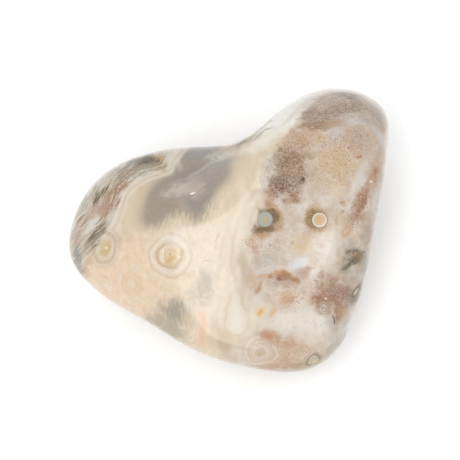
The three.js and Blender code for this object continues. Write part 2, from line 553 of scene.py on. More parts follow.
def laid_out(coords, middle, size, turn=0):
    """Coordinates that count from a middle in steps of a size, in mm, turned anticlockwise about w."""
    return add_node("ShaderNodeMapping", {
        "vector_type": "TEXTURE", "Location": middle, "Scale": size, "Rotation": (0, 0, math.radians(turn)),
    }, {"Vector": coords})


def lumps(coords, size, detail=3.0, rough=0.5, stretch=(1, 1, 1), turn=0, far=0.0):
    """Noise whose lumps have a size in mm, stretched and turned about w. Its middle value is a half. Taken
    from another place, far away, it is another noise."""
    spun = laid_out(coords, (far,) * 3, [size * side for side in stretch], turn)
    return add_node("ShaderNodeTexNoise", {"Scale": 1.0, "Detail": detail, "Roughness": rough},
                    {"Vector": spun})


def cut(value, start, end):
    """A mask that goes softly from 0 at one value to 1 at another, which may be the lower of the two. A
    smooth step clamps itself, so the node's own clamp stays off: without it the renderer can work through
    this long chain in order, which its small memory needs."""
    return add_node("ShaderNodeMapRange", {
        "interpolation_type": "SMOOTHSTEP", "clamp": False, 1: start, 2: end}, {0: value})


def spread(noise, low, high):
    """Noise stretched to run from 0 at low, past 1 halfway, to 2 at high: a factor that stirs."""
    return add_node("ShaderNodeMapRange", {"clamp": False, 1: low, 2: high, 4: 2.0}, {0: noise})


def both(mask, other):
    """The product of two masks or factors: a mask that is on only where both are."""
    return add_node("ShaderNodeMath", {"operation": "MULTIPLY"}, {0: mask, 1: other})


soft_shift = shift_about(5.0, 1.8)
wavy_shift = shift_about(1.6, 1.0, soft_shift)
frayed_shift = shift_about(0.45, 0.5, wavy_shift)
soft_place = shifted(soft_shift)
wavy_place = shifted(wavy_shift)
frayed_place = shifted(frayed_shift)
tell("wandering coordinates")

# %% [markdown]
# ## One colour over another
# The jasper filled up layer by layer, so it is painted in the same way: each step covers what is there with
# one more colour, through a mask. Most masks are ovals round a place that the photograph shows. An oval's
# mask rises over a soft edge, and a factor made of noise can stir that edge, so that it breaks up into
# grains.

# %% Laying one colour over another
EDGE_START = 0.15
EDGE_END = 1.9
LEAST_DEEP = 3.0
DEEP_SHARE = 1.2
USUAL_SHARE = 0.9
UNSTIRRED = None


def cover(below, colour, mask, most=1.0):
    """Covers the finish so far with a colour where a mask says so, at most to the share given."""
    if most < 1.0:
        mask = add_node("ShaderNodeMath", {"operation": "MULTIPLY", 1: most}, {0: mask})
    settings = {"data_type": "RGBA"}
    links = {0: mask}
    for socket, layer in ((6, below), (7, colour)):
        if isinstance(layer, str):
            settings[socket] = linear(layer)
        else:
            links[socket] = layer
    return add_node("ShaderNodeMix", settings, links, 2)


def depth_inside(coords, pixel, half, turn):
    """How deep a place lies in an oval ball round the point seen at a pixel: 1 in the middle, 0 outside."""
    inside = laid_out(coords, on_face(*pixel), half, turn)
    return add_node("ShaderNodeTexGradient", {"gradient_type": "SPHERICAL"}, {"Vector": inside}, "Fac")


def oval(pixel, half, turn, edge, coords=None, deep=None, stir=UNSTIRRED):
    """The mask of an oval round a pixel. Its half-widths are in mm and its soft edge is a share of them.
    The ball that holds it reaches further by that share, and the depth of the half-widths in the ball is
    the unit that the mask's rise is measured in."""
    sides = (half[0], half[1], deep or max(LEAST_DEEP, DEEP_SHARE * max(half)))
    deepness = depth_inside(coords or wavy_place, pixel, [side * (1 + edge) for side in sides], turn)
    start, end = (share * edge / (1 + edge) for share in (EDGE_START, EDGE_END))
    return cut(both(deepness, stir) if stir else deepness, start, end)


def patch(below, pixel, half, turn, colour, most=USUAL_SHARE, edge=USUAL_SHARE, within=None, coords=None,
          deep=None, stir=UNSTIRRED):
    """Lays an oval patch round a pixel, if asked only where another mask is on."""
    mask = oval(pixel, half, turn, edge, coords, deep, stir)
    return cover(below, colour, both(mask, within) if within else mask, most)


print("a mask rises from", EDGE_START, "to", EDGE_END, "times the depth of its half-widths")

# %% [markdown]
# ## Noises for everything
# Every waver, cloud, fibre and grain of the stone comes from one of a few noises, each with lumps of one
# size in mm. They are made once, and the steps that follow cut them at different heights and lay different
# colours through them. The ones that stir an edge are spread out to run evenly about 1.

# %% Mix the noises
waver = spread(lumps(where, 1.8, 4.0), 0.2, 0.8)
fray = spread(lumps(where, 0.4, 3.0, 0.6, far=31.0), 0.2, 0.8)
grit = spread(lumps(where, 0.45, 5.0, 0.7, far=7.0), 0.22, 0.78)
soft_grit = spread(lumps(where, 0.9, 5.0, 0.65, far=17.0), 0.12, 0.88)
sand = lumps(where, 0.17, 2.0, far=47.0)
coarse_sand = lumps(where, 0.21, 3.0, 0.6, far=5.0)
mottle = lumps(wavy_place, 2.4, 4.0, 0.6, far=11.0)
fine_mottle = lumps(frayed_place, 0.8, 4.0, 0.65, far=23.0)
fibres = lumps(wavy_place, 0.5, 3.0, 0.6, stretch=(0.4, 5.0, 1.0), turn=4)
bristles = lumps(where, 0.3, 3.0, 0.6, stretch=(0.5, 5.0, 1.0), turn=-12, far=3.0)
dark_sand = cut(sand, 0.53, 0.68)
pale_sand = cut(sand, 0.47, 0.33)
dark_grains = cut(coarse_sand, 0.50, 0.68)
pale_grains = cut(coarse_sand, 0.48, 0.32)
tell("noises")

# %% [markdown]
# ## The ground
# The left half is cream chalcedony that warms to peach, with faint upright streaks where its fibres stand
# side by side. The right half is an older, broken layer: pinkish beige, mottled with lilac white and healed
# by pale veins. Each could be the picture of a slab, but a picture ends at its edge and layered noise runs
# on through the stone. The flow line divides the two, and noise moves its distance a little, so that it
# wavers.

# %% Lay the ground


def distance(name, waver, reach):
    """A stored distance in mm, with noise added so that its edges waver by up to half the reach."""
    stored = add_node("ShaderNodeAttribute", {"attribute_name": name}, {}, "Fac")
    moved = add_node("ShaderNodeMath", {"operation": "MULTIPLY_ADD", 1: reach, 2: -reach / 2}, {0: waver})
    return add_node("ShaderNodeMath", {"operation": "ADD"}, {0: stored, 1: moved})


left_ground = cover("#bcaf9d", "#b2a089", cut(mottle, 0.42, 0.62), 0.6)
left_ground = patch(left_ground, (128, 268), (9.0, 6.2), -25, "#c5ae95", 1.0, 0.7, deep=12)
left_ground = patch(left_ground, (215, 262), (4.4, 9.0), -5, "#c1b29e", 1.0, 0.7, deep=12)
left_ground = patch(left_ground, (121, 237), (1.7, 0.8), 15, "#ae987e", 0.8)
warm_clouds = lumps(wavy_place, 1.5, 4.0, 0.6, (0.7, 1.5, 1.0), far=61.0)
left_ground = cover(left_ground, "#c2ab91", cut(warm_clouds, 0.5, 0.68), 0.6)
grey_clouds = lumps(wavy_place, 1.3, 4.0, 0.6, (0.7, 1.6, 1.0), far=83.0)
left_ground = cover(left_ground, "#b8ab9c", cut(grey_clouds, 0.5, 0.68), 0.6)
left_ground = cover(left_ground, "#c9bcab", cut(fine_mottle, 0.48, 0.66), 0.5)
left_ground = cover(left_ground, "#b29f87", cut(fine_mottle, 0.46, 0.32), 0.35)
left_ground = cover(left_ground, "#ccc1b3", cut(fibres, 0.5, 0.68), 0.25)
left_ground = cover(left_ground, "#aa977f", cut(fibres, 0.46, 0.30), 0.2)

right_ground = cover("#ae9f90", "#bbb1a8", cut(mottle, 0.42, 0.62), 0.85)
tan_clouds = lumps(wavy_place, 1.7, 4.0, 0.6, far=61.0)
right_ground = cover(right_ground, "#b49d7f", cut(tan_clouds, 0.5, 0.7), 0.6)
rose_clouds = lumps(wavy_place, 1.2, 4.0, 0.6, far=83.0)
right_ground = cover(right_ground, "#a68f80", cut(rose_clouds, 0.52, 0.7), 0.6)
right_ground = cover(right_ground, "#aa9682", cut(fine_mottle, 0.48, 0.68), 0.5)
right_ground = cover(right_ground, "#c0b8b0", cut(fine_mottle, 0.46, 0.30), 0.5)
right_ground = cover(right_ground, "#917b68", both(dark_sand, cut(mottle, 0.60, 0.44)), 0.35)
right_ground = cover(right_ground, "#c5c0b9", pale_sand, 0.22)

flow = distance("left_of_flow", waver, 0.9)
finish = cover(right_ground, left_ground, cut(flow, -0.5, 0.5))
tell("ground")

# %% [markdown]
# ## Flow bands
# Where the cream half ends, thin layers of white, beige and cream run side by side like the growth lines of
# an agate. They are bands along the distance to the flow line. Lower down they flow round a white tongue,
# and the distance to the tongue's own outline bands them there.

# %% Lay the flow bands


def shells(below, value, low, high, stops, within=None):
    """Lays coloured bands along a value. Each stop has the value it is at, its colour and how much it
    covers. A colour ramp runs from 0 to 1, so both the value and the stops are counted from low to high."""
    bands = [((at - low) / (high - low), (*linear(colour)[:3], shown)) for at, colour, shown in stops]
    share = add_node("ShaderNodeMapRange", {"clamp": False, 1: low, 2: high}, {0: value})
    ramp = add_node("ShaderNodeValToRGB", {"stops": bands}, {"Fac": share})
    shown = ramp.node.outputs["Alpha"]
    return cover(below, ramp, both(shown, within) if within else shown)


finish = patch(finish, (250, 184), (2.2, 5.6), -12, "#baaa91", 1.0, 0.8, deep=8)
flow_bands = distance("left_of_flow", waver, 0.8)
finish = shells(finish, flow_bands, -1.6, 5.0, [
    (-1.5, "#bbb1a7", 0.0), (-0.7, "#bfb6ac", 0.6), (-0.1, "#bfb7ac", 0.7), (0.35, "#b6a893", 0.5),
    (0.8, "#c2baac", 0.6), (1.3, "#bfb2a0", 0.5), (1.7, "#b5a58f", 0.5), (2.2, "#c0b4a1", 0.5),
    (2.8, "#b7a790", 0.4), (3.4, "#c0b29e", 0.4), (4.6, "#bbac96", 0.0)])
tongue = distance("into_tongue", waver, 0.5)
finish = shells(finish, tongue, -3.0, 1.0, [
    (-2.9, "#bab0a5", 0.0), (-2.2, "#bdb4aa", 0.7), (-1.6, "#bab0a3", 0.7), (-1.1, "#afa08b", 0.7),
    (-0.7, "#b7aa97", 0.7), (-0.3, "#b4a690", 0.8), (0.0, "#aa9880", 0.85), (0.3, "#b4a897", 0.9),
    (0.9, "#baafa2", 0.95)], within=oval((240, 322), (3.4, 4.2), 0, 0.5))
tell("flow bands")

# %% [markdown]
# ## Touches of colour
# Between the bands the stone is paler here and darker there. Such touches are many small ovals, so they are
# kept as the rows of a table: the pixel, the half-widths in mm, the turn in degrees and the colour. Then
# come, where they aren't the usual ones, the share that covers at most, the share that is soft edge, what
# stirs the edge, and the coordinates. One function lays a whole table, in its order. One darker peach touch
# low in the cream half is partly the stone's colour and partly painted shade, which dims the softbox's
# reflection there.

# %% Touch up the bands


def lay(below, rows, **usual):
    """Lays the patches of a table one over the other. A row's own settings go before the usual ones."""
    for pixel, half, turn, colour, *own in rows:
        settings = {**usual, **dict(zip(("most", "edge", "stir", "coords"), own))}
        below = patch(below, pixel, half, turn, colour, **settings)
    return below


BAND_TOUCHES = [
    ((224, 343), (1.0, 1.4), 20, "#a5947c", 0.9, 0.7),
    # Partly the stone's darker peach and partly painted shade that dims the softbox's reflection here.
    ((215, 334), (0.7, 1.6), 5, "#a89178", 0.85),
    ((256, 195), (1.2, 0.6), 20, "#a08f7d"),
    ((263, 180), (0.35, 2.0), 3, "#a59381", 0.8),
    ((179, 272), (1.5, 0.5), 0, "#b09a7e", 0.8),
    ((246, 343), (1.4, 0.8), -15, "#a5917a", 0.95, 0.9, UNSTIRRED, where),
    ((238, 236), (0.9, 2.4), -12, "#cdc0b1"),
    ((254, 314), (0.7, 1.3), 0, "#c4b8a8", 0.8),
    ((231, 358), (1.4, 0.6), -10, "#ad9e8b"),
    ((180, 244), (1.4, 0.8), 5, "#ac967a", 0.95),
    ((254, 284), (0.5, 0.7), 0, "#a9917b"),
    ((229, 156), (0.9, 0.45), 15, "#b4ada1", 0.95),
    ((171, 171), (1.0, 0.7), 30, "#928779", 0.95),
    ((190, 170), (1.7, 0.8), 12, "#777068", 0.75),
    ((244, 200), (0.5, 0.7), 0, "#ab9b84", 0.8),
    ((174, 212), (1.0, 0.6), 20, "#867a6a", 0.9, 0.9, grit),
    ((256, 261), (0.5, 1.0), 0, "#a28f7d"),
    ((242, 192), (0.6, 1.3), 0, "#c5b7a5"),
    ((243.5, 268), (0.5, 2.6), 6, "#a59682", 0.8, 0.8),
    ((222, 262), (0.25, 4.0), -6, "#b7a790", 0.6),
    ((233, 250), (0.25, 3.4), -8, "#b7a790", 0.6),
]
finish = lay(finish, BAND_TOUCHES)
tell("touches")

# %% [markdown]
# ## The grey pool
# The pool is clear chalcedony that looks into the dark of the stone. Its shore is soft. Along its lower
# shore, cream fibres grew up into it like a brush, so there its distance is moved by noise that is
# stretched along those fibres.

# %% Lay the pool and its banded bay
bay = oval((134, 196), (3.8, 5.2), -35, 0.3, deep=8)
shore = distance("into_pool", fray, 0.3)
finish = shells(finish, shore, -5.0, 0.0, [
    (-4.9, "#b7ac99", 0.0), (-3.9, "#c0b7a8", 0.7), (-3.5, "#b1a08b", 0.8), (-3.1, "#bfb3a2", 0.9),
    (-2.4, "#b3a590", 0.9), (-1.7, "#b8a990", 0.9), (-0.9, "#b2a28c", 0.9), (-0.05, "#a89884", 0.8)],
    within=bay)
combed = oval((187, 220), (6.0, 2.4), 12, 0.6, coords=where)
bristly = add_node("ShaderNodeMix", {2: 0.5}, {0: combed, 3: bristles})
bristly_shore = distance("into_pool", bristly, 3.0)
finish = shells(finish, bristly_shore, -1.4, 3.0, [
    (-1.35, "#b4a58e", 0.0), (-0.7, "#ae9f88", 0.45), (-0.1, "#9b8f7d", 0.8), (0.5, "#8b8074", 1.0),
    (1.4, "#83796d", 1.0), (3.0, "#81776c", 1.0)])
in_pool = cut(bristly_shore, -0.2, 0.8)
finish = cover(finish, "#898079", both(in_pool, cut(mottle, 0.45, 0.6)), 0.6)
tell("pool")

# %% [markdown]
# ## What floats in the pool
# Clear quartz is never even: the pool is darker where it is deep, a pale smear floats in it, and a thin film
# slants up to its right end. They are flat marks here, because the polish closes over them all. One bright
# fleck in the smear is a painted highlight: the glint of a tiny chip, laid in as near-white colour.

# %% Fill the pool
POOL_DEPTHS = [
    ((187, 174), (2.3, 0.8), 28, "#7c736a", 0.95),
    ((163, 190), (1.1, 2.2), -25, "#84786d"),
    ((174, 210), (0.9, 0.5), 0, "#867869", 0.8),
    ((152, 208), (1.8, 2.0), 0, "#89796b", 0.7),
    ((205, 197), (2.4, 1.6), 30, "#7b756c", 0.7),
    ((205, 148), (3.2, 1.2), 8, "#84817e", 0.8),
]
finish = lay(finish, POOL_DEPTHS, within=in_pool)
POOL_SMEARS = [
    ((179, 190), (1.8, 0.8), 22, "#a69a90", 0.95),
    ((196, 187), (1.1, 1.2), 22, "#a29287", 0.85),
    ((183, 205), (0.7, 0.9), 10, "#97897b", 0.6),
]
smear = spread(lumps(wavy_place, 0.5, 4.0, 0.6, stretch=(2.4, 1.0, 1.0), turn=28, far=71.0), 0.1, 0.8)
finish = lay(finish, POOL_SMEARS, stir=smear)
# A painted highlight: the near-white glint of a tiny chip in the smear.
finish = patch(finish, (193, 193), (0.32, 0.1), 28, "#d6d6d6", 1.0, 0.5, coords=soft_place)
POOL_FILM = [
    ((216, 167), (3.0, 0.9), 32, "#8c8781", 0.65),
    ((212, 164), (3.4, 0.16), 27, "#a09f9b", 0.5, 1.2),
    ((233, 152), (2.2, 0.65), 17, "#b1a99c", 0.95, 1.0, grit),
    ((214, 153), (1.0, 0.35), 24, "#a69e91", 0.8, 1.0, grit),
    ((243, 163), (1.2, 1.6), -20, "#b7a896", 0.8),
    ((174, 155), (0.5, 1.5), 25, "#b0aa9b"),
]
finish = lay(finish, POOL_FILM)
tell("what floats in the pool")

# %% [markdown]
# ## The streaky flank
# On the upper left the stone was cut almost along its layers, so they show as streaks that follow the edge.
# Noise that is short across the flank line and long along it draws them, and the same noise stirs the
# stains that soaked in along the layers.

# %% Lay the flank


def streaks(value, width, length, far=0.0):
    """Noise that follows the lines of equal value: short across them and long along them, both in mm."""
    across = add_node("ShaderNodeMath", {"operation": "MULTIPLY_ADD", 1: 1 / width, 2: far}, {0: value})
    aside = add_node("ShaderNodeCombineXYZ", {}, {2: across})
    drawn = add_node("ShaderNodeMapping", {"Scale": (1 / length,) * 3}, {"Vector": where, "Location": aside})
    return add_node("ShaderNodeTexNoise", {"Scale": 1.0, "Detail": 3.0}, {"Vector": drawn})


flank = distance("outside_flank_line", waver, 0.2)
flank_streaks = streaks(flank, 0.22, 2.5)
streak_grit = spread(both(spread(flank_streaks, 0.25, 0.75), spread(coarse_sand, 0.0, 1.0)), 0.0, 2.0)
on_flank = cut(flank, -0.3, 0.5)
finish = cover(finish, "#aea393", on_flank)
finish = cover(finish, "#918474", both(on_flank, cut(flank_streaks, 0.47, 0.62)), 0.85)
finish = cover(finish, "#b9b5ac", both(on_flank, cut(streaks(flank, 0.5, 4.0, 19.0), 0.48, 0.62)), 0.8)
finish = shells(finish, flank, -1.2, 1.4, [
    (-1.15, "#baae9d", 0.0), (-0.8, "#c0b7a9", 0.7), (-0.45, "#b4a390", 0.7), (-0.1, "#bfb7aa", 0.85),
    (0.35, "#b3ac9f", 0.6), (1.3, "#b3ac9f", 0.0)])
tell("flank")

# %% [markdown]
# ## Stains of the flank
# Iron coloured some of its layers rust and red, and others stayed grey, cream or olive. Each stain is an
# oval that lies along the layers. Two runs of very dark grains show where the layers were richest in iron.

# %% Stain the flank
FLANK_STAINS = {
    "grey haze left of the olive lens": ((131, 165), (2.2, 0.75), 22, "#7c776d", 1.0, 0.8),
    "rose in the haze": ((125, 172), (0.8, 0.5), 20, "#866f61"),
    "olive lens": ((142, 161), (1.7, 0.45), 4, "#574a38", 1.0, 0.8),
    "olive lens foot": ((155, 163), (1.1, 0.4), -18, "#86715a", 0.9, 0.8),
    "olive lens core": ((145.5, 160.7), (0.85, 0.22), -4, "#342700", 0.9, 0.9, UNSTIRRED),
    "orange end of the lens": ((160, 160), (0.9, 0.5), -14, "#9d815c"),
    "pale rim of the lens": ((170, 160), (0.35, 1.4), 10, "#b7b2a6", 0.8),
    "brown streak under the lens": ((128, 174.5), (1.5, 0.4), 28, "#867563"),
    "dark under the tip": ((149, 165.5), (1.0, 0.45), 12, "#5b4c3a", 0.95),
    "tan under the tip": ((159, 167), (0.7, 0.4), 15, "#8c7a65"),
    "mauve streak": ((140, 174), (1.3, 0.4), 20, "#91877c", 0.8),
    "grey under the olive lens": ((146, 169), (1.3, 0.35), 18, "#8a7f70"),
    "green-brown lens": ((98, 196), (1.4, 0.45), 38, "#6d6352", 1.0),
    "tan left of the lens": ((90, 193.5), (0.8, 0.3), 40, "#94886f"),
    "rust lens": ((116, 190), (1.6, 0.55), 32, "#8d6f55", 1.0),
    "red stain": ((111, 202), (1.5, 0.6), 52, "#8a6752", 1.0),
    "red haze": ((100, 208), (1.4, 0.8), 42, "#9b7f6d", 0.7),
    "rust foot": ((104, 215), (0.4, 0.8), -15, "#8f745c"),
    "red streak": ((83, 217), (0.25, 1.3), -40, "#8a705e", 1.0),
    "second red streak": ((91, 211), (0.25, 1.7), -38, "#8d7361", 1.0),
    "cream between the streaks": ((86, 218), (0.22, 1.0), -40, "#b3a595"),
    "grey under the shoulder": ((80, 211), (0.3, 0.8), -35, "#958b7e"),
    "third red streak": ((84, 226), (0.25, 1.2), -32, "#917867", 1.0),
    "rose patch": ((77, 236), (0.6, 1.1), -20, "#9a8478", 0.95),
    "olive ground of the lens": ((92, 240), (2.0, 0.7), 55, "#8f8370"),
    "tan edge": ((86, 262), (0.5, 1.2), -30, "#a89581", 0.8),
    "tan under the edge": ((86, 274), (0.6, 0.5), -30, "#ab957f"),
    "green-grey edge": ((76, 253), (0.5, 1.2), 8, "#77776f", 1.0),
    "dark edge": ((80, 269), (0.45, 1.1), 25, "#807b6f", 0.95),
    "grey shoulder": ((77, 208), (0.5, 1.6), -28, "#9a9792", 0.7),
}
finish = lay(finish, FLANK_STAINS.values(), stir=streak_grit)
speckled = both(on_flank, oval((120, 182), (7.0, 2.6), 40, 0.4))
finish = cover(finish, "#5e5041", both(speckled, dark_grains), 0.3)
ridge_of_grains = oval((101, 195), (2.1, 0.4), 38, 0.5)
finish = cover(finish, "#352700", both(ridge_of_grains, cut(flank_streaks, 0.5, 0.62)), 0.8)
end_of_grains = oval((149, 162), (2.0, 0.45), -8, 0.5)
finish = cover(finish, "#311a00", both(end_of_grains, cut(flank_streaks, 0.5, 0.62)), 0.5)
finish = cover(finish, "#b7afa3", both(speckled, pale_grains), 0.12)
tell("stains of the flank")

# %% [markdown]
# ## Clouds of the left half
# Two clear clouds let the dark of the stone through, a pink streak stands beside them, and a few hair-thin
# brown flecks lie between.

# %% Lay the clouds
upright = spread(lumps(wavy_place, 0.35, 4.0, 0.6, (0.6, 5.0, 1.0), 5, 37.0), 0.1, 0.9)
CLOUDS = [
    ((174, 314), (1.9, 1.8), 10, "#958b7c", 0.95, 1.0, upright),
    ((173, 331), (1.8, 0.8), -32, "#948a79", 0.9, 0.9, soft_grit),
    ((178, 310), (0.9, 1.2), 10, "#877e70", 0.85, 1.0, upright),
    ((160, 323), (1.9, 0.9), -32, "#958b7b", 0.9, 0.9, soft_grit),
    ((207, 281), (0.9, 1.2), -12, "#9d9384", 0.85, 1.0, upright),
    ((201, 291), (1.2, 1.6), -12, "#a0927f", 0.8, 0.9, grit),
    ((202, 331), (0.5, 2.2), 3, "#c1a086", 0.85),
    ((214, 340), (0.4, 1.4), 3, "#bda994", 0.6),
]
finish = lay(finish, CLOUDS)
FLECKS = [((209, 262), (0.55, 0.07), 12), ((103, 278), (0.5, 0.06), -25), ((188, 299), (0.4, 0.06), -25),
          ((218, 236), (0.06, 0.5), -15), ((219, 245), (0.05, 0.4), -5), ((184, 318), (0.06, 0.5), 0)]
for fleck in FLECKS:
    finish = patch(finish, *fleck, "#a07f5d", 0.6, coords=frayed_place)
tell("clouds")

# %% [markdown]
# ## Stains of the lobe
# Iron and clay crept into the broken right half along its cracks. Each stain is a soft oval that frays and
# thins out in grains. The pointed lobe comes first: a pale vein that arches over its middle, and its white
# flank with fine hairlines that run down into the notch.

# %% Stain the lobe
ARC = [((333, 132), (0.9, 0.28), 48), ((345, 123.5), (1.1, 0.3), 20), ((361, 121.5), (1.2, 0.3), -8),
       ((375, 129), (1.1, 0.32), -48), ((384, 143), (1.0, 0.3), -70)]
for vein in ARC:
    finish = patch(finish, *vein, "#aea9a5")
LOBE_STAINS = {
    "lobe flank": ((287, 114), (4.9, 1.5), 42, "#cfcbc4", 1.0, 0.3),
    "cream band in the lobe flank": ((286, 121), (2.4, 0.18), 46, "#bfb6a5", 0.8),
    "cream band beside it": ((291, 116), (1.6, 0.3), 48, "#c2baac", 0.8),
    "lobe flank foot": ((268, 138), (2.3, 0.8), 35, "#c6bfb4", 0.9, 0.7),
    "grey hairline of the notch": ((242, 142.2), (1.7, 0.26), 18, "#7c7464", 0.9, 0.9, UNSTIRRED),
    "olive hairline of the notch": ((245, 141), (0.7, 0.1), 20, "#7f6c4e", 0.8, 0.9, UNSTIRRED),
    "white band under the notch": ((262, 140), (2.4, 0.4), 30, "#c8c1b5"),
    "grey shoulder over it": ((256, 136), (1.2, 0.4), 38, "#b8b2a6", 0.8),
    "lobe hairline": ((258, 132), (1.4, 0.08), 42, "#857d70", 0.7, 0.9, UNSTIRRED),
    "inner lobe hairline": ((265, 134), (1.0, 0.08), 36, "#867b69", 0.75, 0.9, UNSTIRRED),
    "upper lobe hairline": ((272, 118.5), (1.5, 0.1), 42, "#9a958a", 0.9, 0.9, UNSTIRRED),
    "lower lobe hairline": ((257, 138), (0.8, 0.07), 32, "#8c8578", 0.7, 0.9, UNSTIRRED),
}
finish = lay(finish, LOBE_STAINS.values(), stir=soft_grit)
tell("stains of the lobe")

# %% [markdown]
# ## The cap
# The mauve cap on the lobe's tip is striped by a noise that is stretched along it. The same noise stirs its
# stains, so that their edges run out in stripes and not in grains.

# %% Stain the cap
cap_streaks = lumps(wavy_place, 0.22, 4.0, 0.7, stretch=(6.0, 1.0, 1.0), turn=8, far=91.0)
cap_grit = spread(cap_streaks, 0.25, 0.75)
CAP_STAINS = {
    "cap field": ((338, 104), (3.9, 1.6), 6, "#a39486", 1.0, 0.5, cap_grit),
    "mauve cap": ((338, 112), (4.2, 0.7), 10, "#867567", 1.0, 0.7, cap_grit),
    "left end of the cap": ((312.5, 114.5), (1.25, 0.9), 12, "#8c796d", 1.0, 0.5),
    "mauve cap right": ((349, 95.5), (2.0, 0.55), -8, "#7d6f62", 1.0, 0.7, cap_grit),
    "right of the cap": ((359, 104), (1.1, 0.55), 15, "#897a6a", 0.95),
    "brown under the cap": ((328, 122), (1.0, 0.5), 0, "#8f7b68"),
    "tan under the streak": ((299, 139), (1.2, 0.65), -35, "#957963"),
    "tan left of the bridge": ((300, 129), (0.5, 0.35), 0, "#937d6b"),
    "cap hairline": ((358, 96.5), (0.6, 0.08), -5, "#5b5146", 0.9, 0.9, UNSTIRRED),
    "warm light in the cap": ((325, 100), (1.6, 0.6), 14, "#a08f84", 0.8, 0.9, cap_grit),
    "warm side of the cap": ((377, 111), (0.9, 0.9), 40, "#97897b"),
    "pale under the cap": ((349, 117), (2.0, 0.4), 2, "#a89f95", 0.8),
    "white left of the cap": ((310, 100), (1.8, 0.55), 43, "#c2bcb3", 0.95),
    "white over the cap": ((318, 95), (1.0, 0.3), 25, "#bcb6ad"),
    "tan right rim": ((384, 126), (0.6, 0.9), -40, "#947f68"),
    "grey right of the cap": ((367, 121), (1.0, 0.7), -20, "#978b80"),
    "mauve streak": ((317, 125), (2.0, 0.6), 4, "#866b59", 1.0, 0.7, cap_grit),
    "rose end of the streak": ((334, 123.5), (1.0, 0.5), 6, "#9d7f6b", 0.9, 0.9, cap_grit),
    "right rim": ((379, 115), (0.9, 1.5), 30, "#918175", 0.9, 0.8),
}
finish = lay(finish, CAP_STAINS.values(), stir=soft_grit)
tell("stains of the cap")

# %% [markdown]
# ## Stains of the middle
# Under the lobe a tan bridge leads to a maroon stain, which runs down beside the flow bands, and a tan
# field lies inside the pale arch. Small marks are laid over large ones, so the order of the rows matters.

# %% Stain the middle
MIDDLE_STAINS = {
    "tan bridge": ((303, 141), (2.7, 1.2), 8, "#a4886f", 0.95, 0.7),
    "ochre in the bridge": ((320, 140), (1.2, 0.5), 0, "#b59d7f", 0.85),
    "lilac under the bridge": ((318, 147), (1.2, 0.5), 8, "#aca198", 0.85),
    "beige inside the arc": ((357, 140), (2.6, 1.8), -12, "#a18c7b", 0.85),
    "pale veil": ((334, 137), (0.45, 1.4), -30, "#a9a29c"),
    "tan field": ((336, 165), (2.6, 2.5), 10, "#b09679"),
    "pale under the field": ((334, 190), (0.9, 0.7), 0, "#bdad9b", 0.8),
    "pale right shore of the field": ((362, 176), (0.8, 2.2), -14, "#b7afa8", 0.85, 0.8),
    "mauve band left of the maroon": ((269, 169), (0.6, 1.8), 8, "#9e9287"),
    "maroon upper": ((287, 159), (1.4, 1.3), 20, "#7b5b49", 1.0, 0.8),
    "tan over the maroon": ((289, 149), (1.2, 0.6), 20, "#a08975", 0.85),
    "maroon heart": ((291, 164), (1.0, 0.8), 10, "#806351"),
    "maroon arm": ((301, 158), (1.7, 0.55), 12, "#927762"),
    "maroon middle": ((290, 174), (2.0, 1.0), 0, "#8e7560", 0.95),
    "maroon lower": ((281, 183.5), (1.4, 1.0), 5, "#725644", 1.0, 0.8),
    "brown left of its foot": ((267, 192), (0.5, 0.5), 0, "#8c715d"),
    "maroon left foot": ((274, 191), (0.8, 0.6), 30, "#866651", 0.95),
    "maroon right": ((299.5, 179.5), (0.35, 0.4), 0, "#765a43"),
    "grey left of the maroon": ((264, 184), (0.5, 0.8), 0, "#a99c8f"),
    "tan under it": ((271, 199), (0.7, 0.6), 20, "#a68f7c"),
    "maroon foot": ((294.5, 193), (0.9, 0.95), -20, "#8b6a4f", 0.95),
    "tan left of the foot": ((287, 199), (0.6, 0.5), 0, "#927965"),
}
finish = lay(finish, MIDDLE_STAINS.values(), stir=soft_grit)
tell("stains of the middle")

# %% [markdown]
# ## Stains and a painted reflection on the right edge
# Rust crept down a crack beside the right edge and left drops next to it, and the edge itself is grey. One
# blue-white sliver on the rim is a painted reflection: the bright room seen at a grazing angle.

# %% Stain the right edge
EDGE_STAINS_AND_REFLECTION = {
    "rust spot": ((357, 156.5), (0.4, 0.22), 10, "#956e4f", 0.9, 0.7),
    "rust streak top": ((374, 173), (0.9, 1.3), -20, "#9e826e", 0.95, 0.8),
    "rust heart of the top": ((375, 172), (0.3, 0.5), -10, "#90613b"),
    "rust streak middle": ((368, 187), (0.6, 1.1), -30, "#a08571", 0.95, 0.8),
    "rust streak low": ((358, 203), (0.52, 2.0), -25, "#92735a", 1.0, 0.8),
    "foot of the rust streak": ((352, 215), (0.8, 0.9), -25, "#957a69", 0.95),
    "tan beside the foot": ((362, 220), (0.7, 0.8), 0, "#90765f"),
    "dark flecks in the streak": ((359, 206), (0.35, 1.5), -25, "#84604a"),
    "white beside the rust streak": ((355, 191), (0.5, 1.0), -25, "#bab2a8"),
    "rust drop": ((341, 201), (0.3, 0.24), 20, "#96755b"),
    "rust drop below": ((340, 212), (0.3, 0.3), 0, "#9a7d67"),
    "rust drop left": ((335, 219), (0.22, 0.45), 0, "#a18670", 0.8),
    "rust drop right": ((343, 204), (0.15, 0.3), 30, "#a58570", 0.8),
    "rust foot": ((346, 228), (0.7, 0.8), 10, "#a88c73"),
    "mauve stripe right of the streak": ((368, 219), (0.6, 1.0), -10, "#a69283", 0.85),
    "grey right edge": ((370, 230), (0.4, 1.1), -10, "#98897a"),
    "grey edge": ((368, 240), (0.6, 1.2), -10, "#958879", 0.95),
    "grey over the blotch": ((349, 243), (1.0, 0.5), 0, "#9a8f82", 0.85),
    "grey edge below": ((364, 265), (0.5, 1.2), -12, "#8f867a", 0.95),
    "tan edge at the top": ((381, 160), (0.5, 1.0), -12, "#a38d79", 0.8),
    # A painted reflection of the bright room on the grazing rim, blue-white.
    "painted rim reflection": ((376, 202), (0.45, 1.6), -12, "#b0b1b0", 0.8, 0.8),
}
finish = lay(finish, EDGE_STAINS_AND_REFLECTION.values(), stir=soft_grit)
tell("stains of the right edge")
